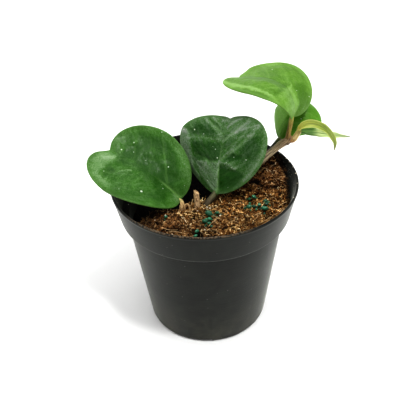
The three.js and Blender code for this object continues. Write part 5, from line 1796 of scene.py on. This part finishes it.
def stubRing(frame, point, k, plane):
    # one uneven, grooved ring of the stalk, slid back to the slanting cut where it passes it
    side, up, ahead = frame
    ring = []
    for s in range(stub["sides"]):
        a = 2 * math.pi * s / stub["sides"]
        groove = 0.16 * math.exp(-((math.sin(a / 2 - 0.9)) / 0.12) ** 2)
        wave = 0.06 * math.sin(5 * a + 0.35 * k) + 0.05 * math.sin(9 * a - 0.2 * k)
        radius = point[3] * (1 + wave) - 0.8 * groove
        spot = point[:3] + radius * (math.cos(a) * side + math.sin(a) * up)
        past = float((spot - stub["cut"]) @ plane) - 0.18 * math.sin(7 * a) - 0.12 * math.sin(13 * a)
        ring.append(spot - ahead * max(past, 0) / float(ahead @ plane))
    return np.array(ring)


def makeStub():
    line, sides = catmullRom(stub["path"], 16), stub["sides"]
    plane = np.array([math.sin(stub["cutTilt"]), 0, math.cos(stub["cutTilt"])])
    rings = []
    for k, (turned, point) in enumerate(zip(sweepFrames(line), line)):
        rings.append(stubRing(turned, point, k, plane))
        if ((rings[-1] - stub["cut"]) @ plane > -0.35).all():
            break
    top = rings[-1]
    centre = top.mean(0)
    rings += [centre + (top - centre) * share + plane * height for share, height in stub["hollow"]]
    points = np.vstack([*rings, [centre - plane * 0.34], [line[0, :3]]])
    faces = ringFaces(len(rings), sides)
    last, middle = (len(rings) - 1) * sides, len(points) - 2
    faces += [[last + s, last + (s + 1) % sides, middle] for s in range(sides)]
    faces += [[(s + 1) % sides, s, middle + 1] for s in range(sides)]
    finish = strawFinish("dryStalk", stub["bark"], stub["dark"], stub["pith"])
    settle(meshPiece("dry_stub_stalk", points, faces, finish=finish), "dry_stalk", "dry_stub")


makeStub()

# straw, dark streaks and pale specks
strawTones = [(0.62, 0.44, 0.235), (0.25, 0.145, 0.065), (0.84, 0.69, 0.46)]

# loose straws: three points with their rise above the medium, then the radius
straws = [
    [(1.0, -30.2, 0.9), (3.4, -27.6, 1.5), (6.6, -23.9, 0.9), 0.16],
    [(2.4, -23.6, 1.4), (4.8, -24.2, 1.7), (7.4, -25.6, 0.8), 0.13],
    [(3.2, -27.9, 0.8), (4.6, -25.6, 1.5), (5.9, -23.2, 0.9), 0.12],
    [(-3.6, -26.3, 0.6), (-1.4, -26.4, 1.3), (0.8, -27.2, 0.8), 0.12],
    [(22.0, -23.6, 0.5), (24.0, -22.4, 1.2), (26.0, -22.0, 0.6), 0.15],
    [(22.6, -25.4, 0.5), (24.4, -22.8, 1.0), (26.2, -19.9, 0.6), 0.13],
    [(33.8, -15.0, 0.5), (36.4, -12.8, 1.1), (38.8, -10.8, 0.6), 0.2],
    [(-16.5, -31.0, 0.5), (-12.5, -32.6, 1.0), (-8.5, -34.2, 0.5), 0.2],
    [(-19.5, -28.8, 0.5), (-16.0, -30.6, 1.1), (-12.2, -31.2, 0.5), 0.16],
    [(-6.8, -18.6, 0.5), (-5.2, -17.2, 1.3), (-3.6, -16.9, 0.6), 0.2],
    [(-9.2, -16.9, 0.5), (-7.6, -17.6, 1.0), (-5.8, -18.6, 0.5), 0.16],
    [(9.4, -28.6, 0.5), (12.2, -27.2, 1.1), (15.2, -27.6, 0.5), 0.13],
    [(14.5, -14.2, 0.5), (16.8, -13.0, 1.1), (18.8, -13.4, 0.5), 0.12],
    [(30.5, -9.4, 0.5), (32.8, -10.6, 1.1), (34.2, -12.8, 0.5), 0.14],
    [(26.2, 6.4, 0.5), (29.6, 7.6, 1.2), (32.6, 7.0, 0.5), 0.14],
    [(30.4, 21.4, 0.5), (33.4, 19.6, 1.2), (35.6, 16.4, 0.5), 0.15],
    [(19.6, -34.4, 0.6), (23.2, -32.6, 1.3), (26.4, -29.9, 0.6), 0.14],
    [(26.8, -29.0, 0.6), (29.9, -26.9, 1.2), (32.2, -23.6, 0.6), 0.13],
    [(32.6, -22.6, 0.6), (35.2, -19.8, 1.2), (36.8, -16.2, 0.6), 0.15],
    [(11.6, -37.2, 0.5), (15.4, -36.6, 1.1), (19.2, -34.8, 0.5), 0.14],
    [(23.6, -27.4, 0.5), (27.2, -25.4, 1.2), (29.8, -21.6, 0.5), 0.12],
    [(-1.8, -38.2, 0.5), (2.6, -38.6, 1.2), (7.2, -37.8, 0.5), 0.15],
    [(27.8, -26.4, 0.7), (30.6, -22.2, 1.3), (33.8, -19.4, 0.6), 0.12],
    [(-6.6, -13.9, 0.2), (-6.1, -13.6, 2.2), (-5.5, -13.2, 4.0), 0.26],
]

# the left stalk's shrivelled sheath, which arches beside it: x, y and z, then the radius
sheath = [
    [
        (-9.5, -15.2, 72.6), (-9.4, -14.9, 74.8), (-9.0, -14.6, 76.2), (-8.2, -14.5, 76.5),
        (-7.5, -14.8, 75.7), (-7.1, -15.2, 74.2), (-7.1, -15.4, 72.6), 0.46,
    ],
    [(-10.9, -14.9, 72.6), (-10.8, -14.4, 74.6), (-11.1, -13.2, 75.4), (-11.3, -11.6, 75.6), 0.5],
    [(-11.9, -14.6, 72.8), (-11.7, -14.0, 74.2), (-11.5, -12.8, 75.0), 0.32],
]


def laid(spots):
    # points with their rise above the medium, in place
    return [(x, y, float(plainHeight(x, y)) + lift) for x, y, lift in spots]


def makeStraws():
    points, edges, thickness, along = [], [], [], []
    ways = [(laid(spots), radius) for *spots, radius in straws]
    ways += [(spots, radius) for *spots, radius in sheath]
    for path, radius in ways:
        line = catmullRom([(*p, 1.0) for p in path], 8)
        t, start = np.linspace(0, 1, len(line)), len(points)
        points += line[:, :3].tolist()
        edges += chain(len(line), start)
        thickness += (radius * np.sqrt(np.clip(1 - (2 * t - 1) ** 8, 0.05, 1)) * mm).tolist()
        along += (t * 8 + start).tolist()
    piece = meshPiece("loose_straws", points, edges=edges)
    pointValues(piece, thickness=thickness, along=along)
    finish = strawFinish("paleStraw", *strawTones)
    grow(piece, skinTree, {"Sides": 12, "Ridges": 0.12 * mm, "Finish": finish})
    settle(piece, "dry_stalk")


makeStraws()
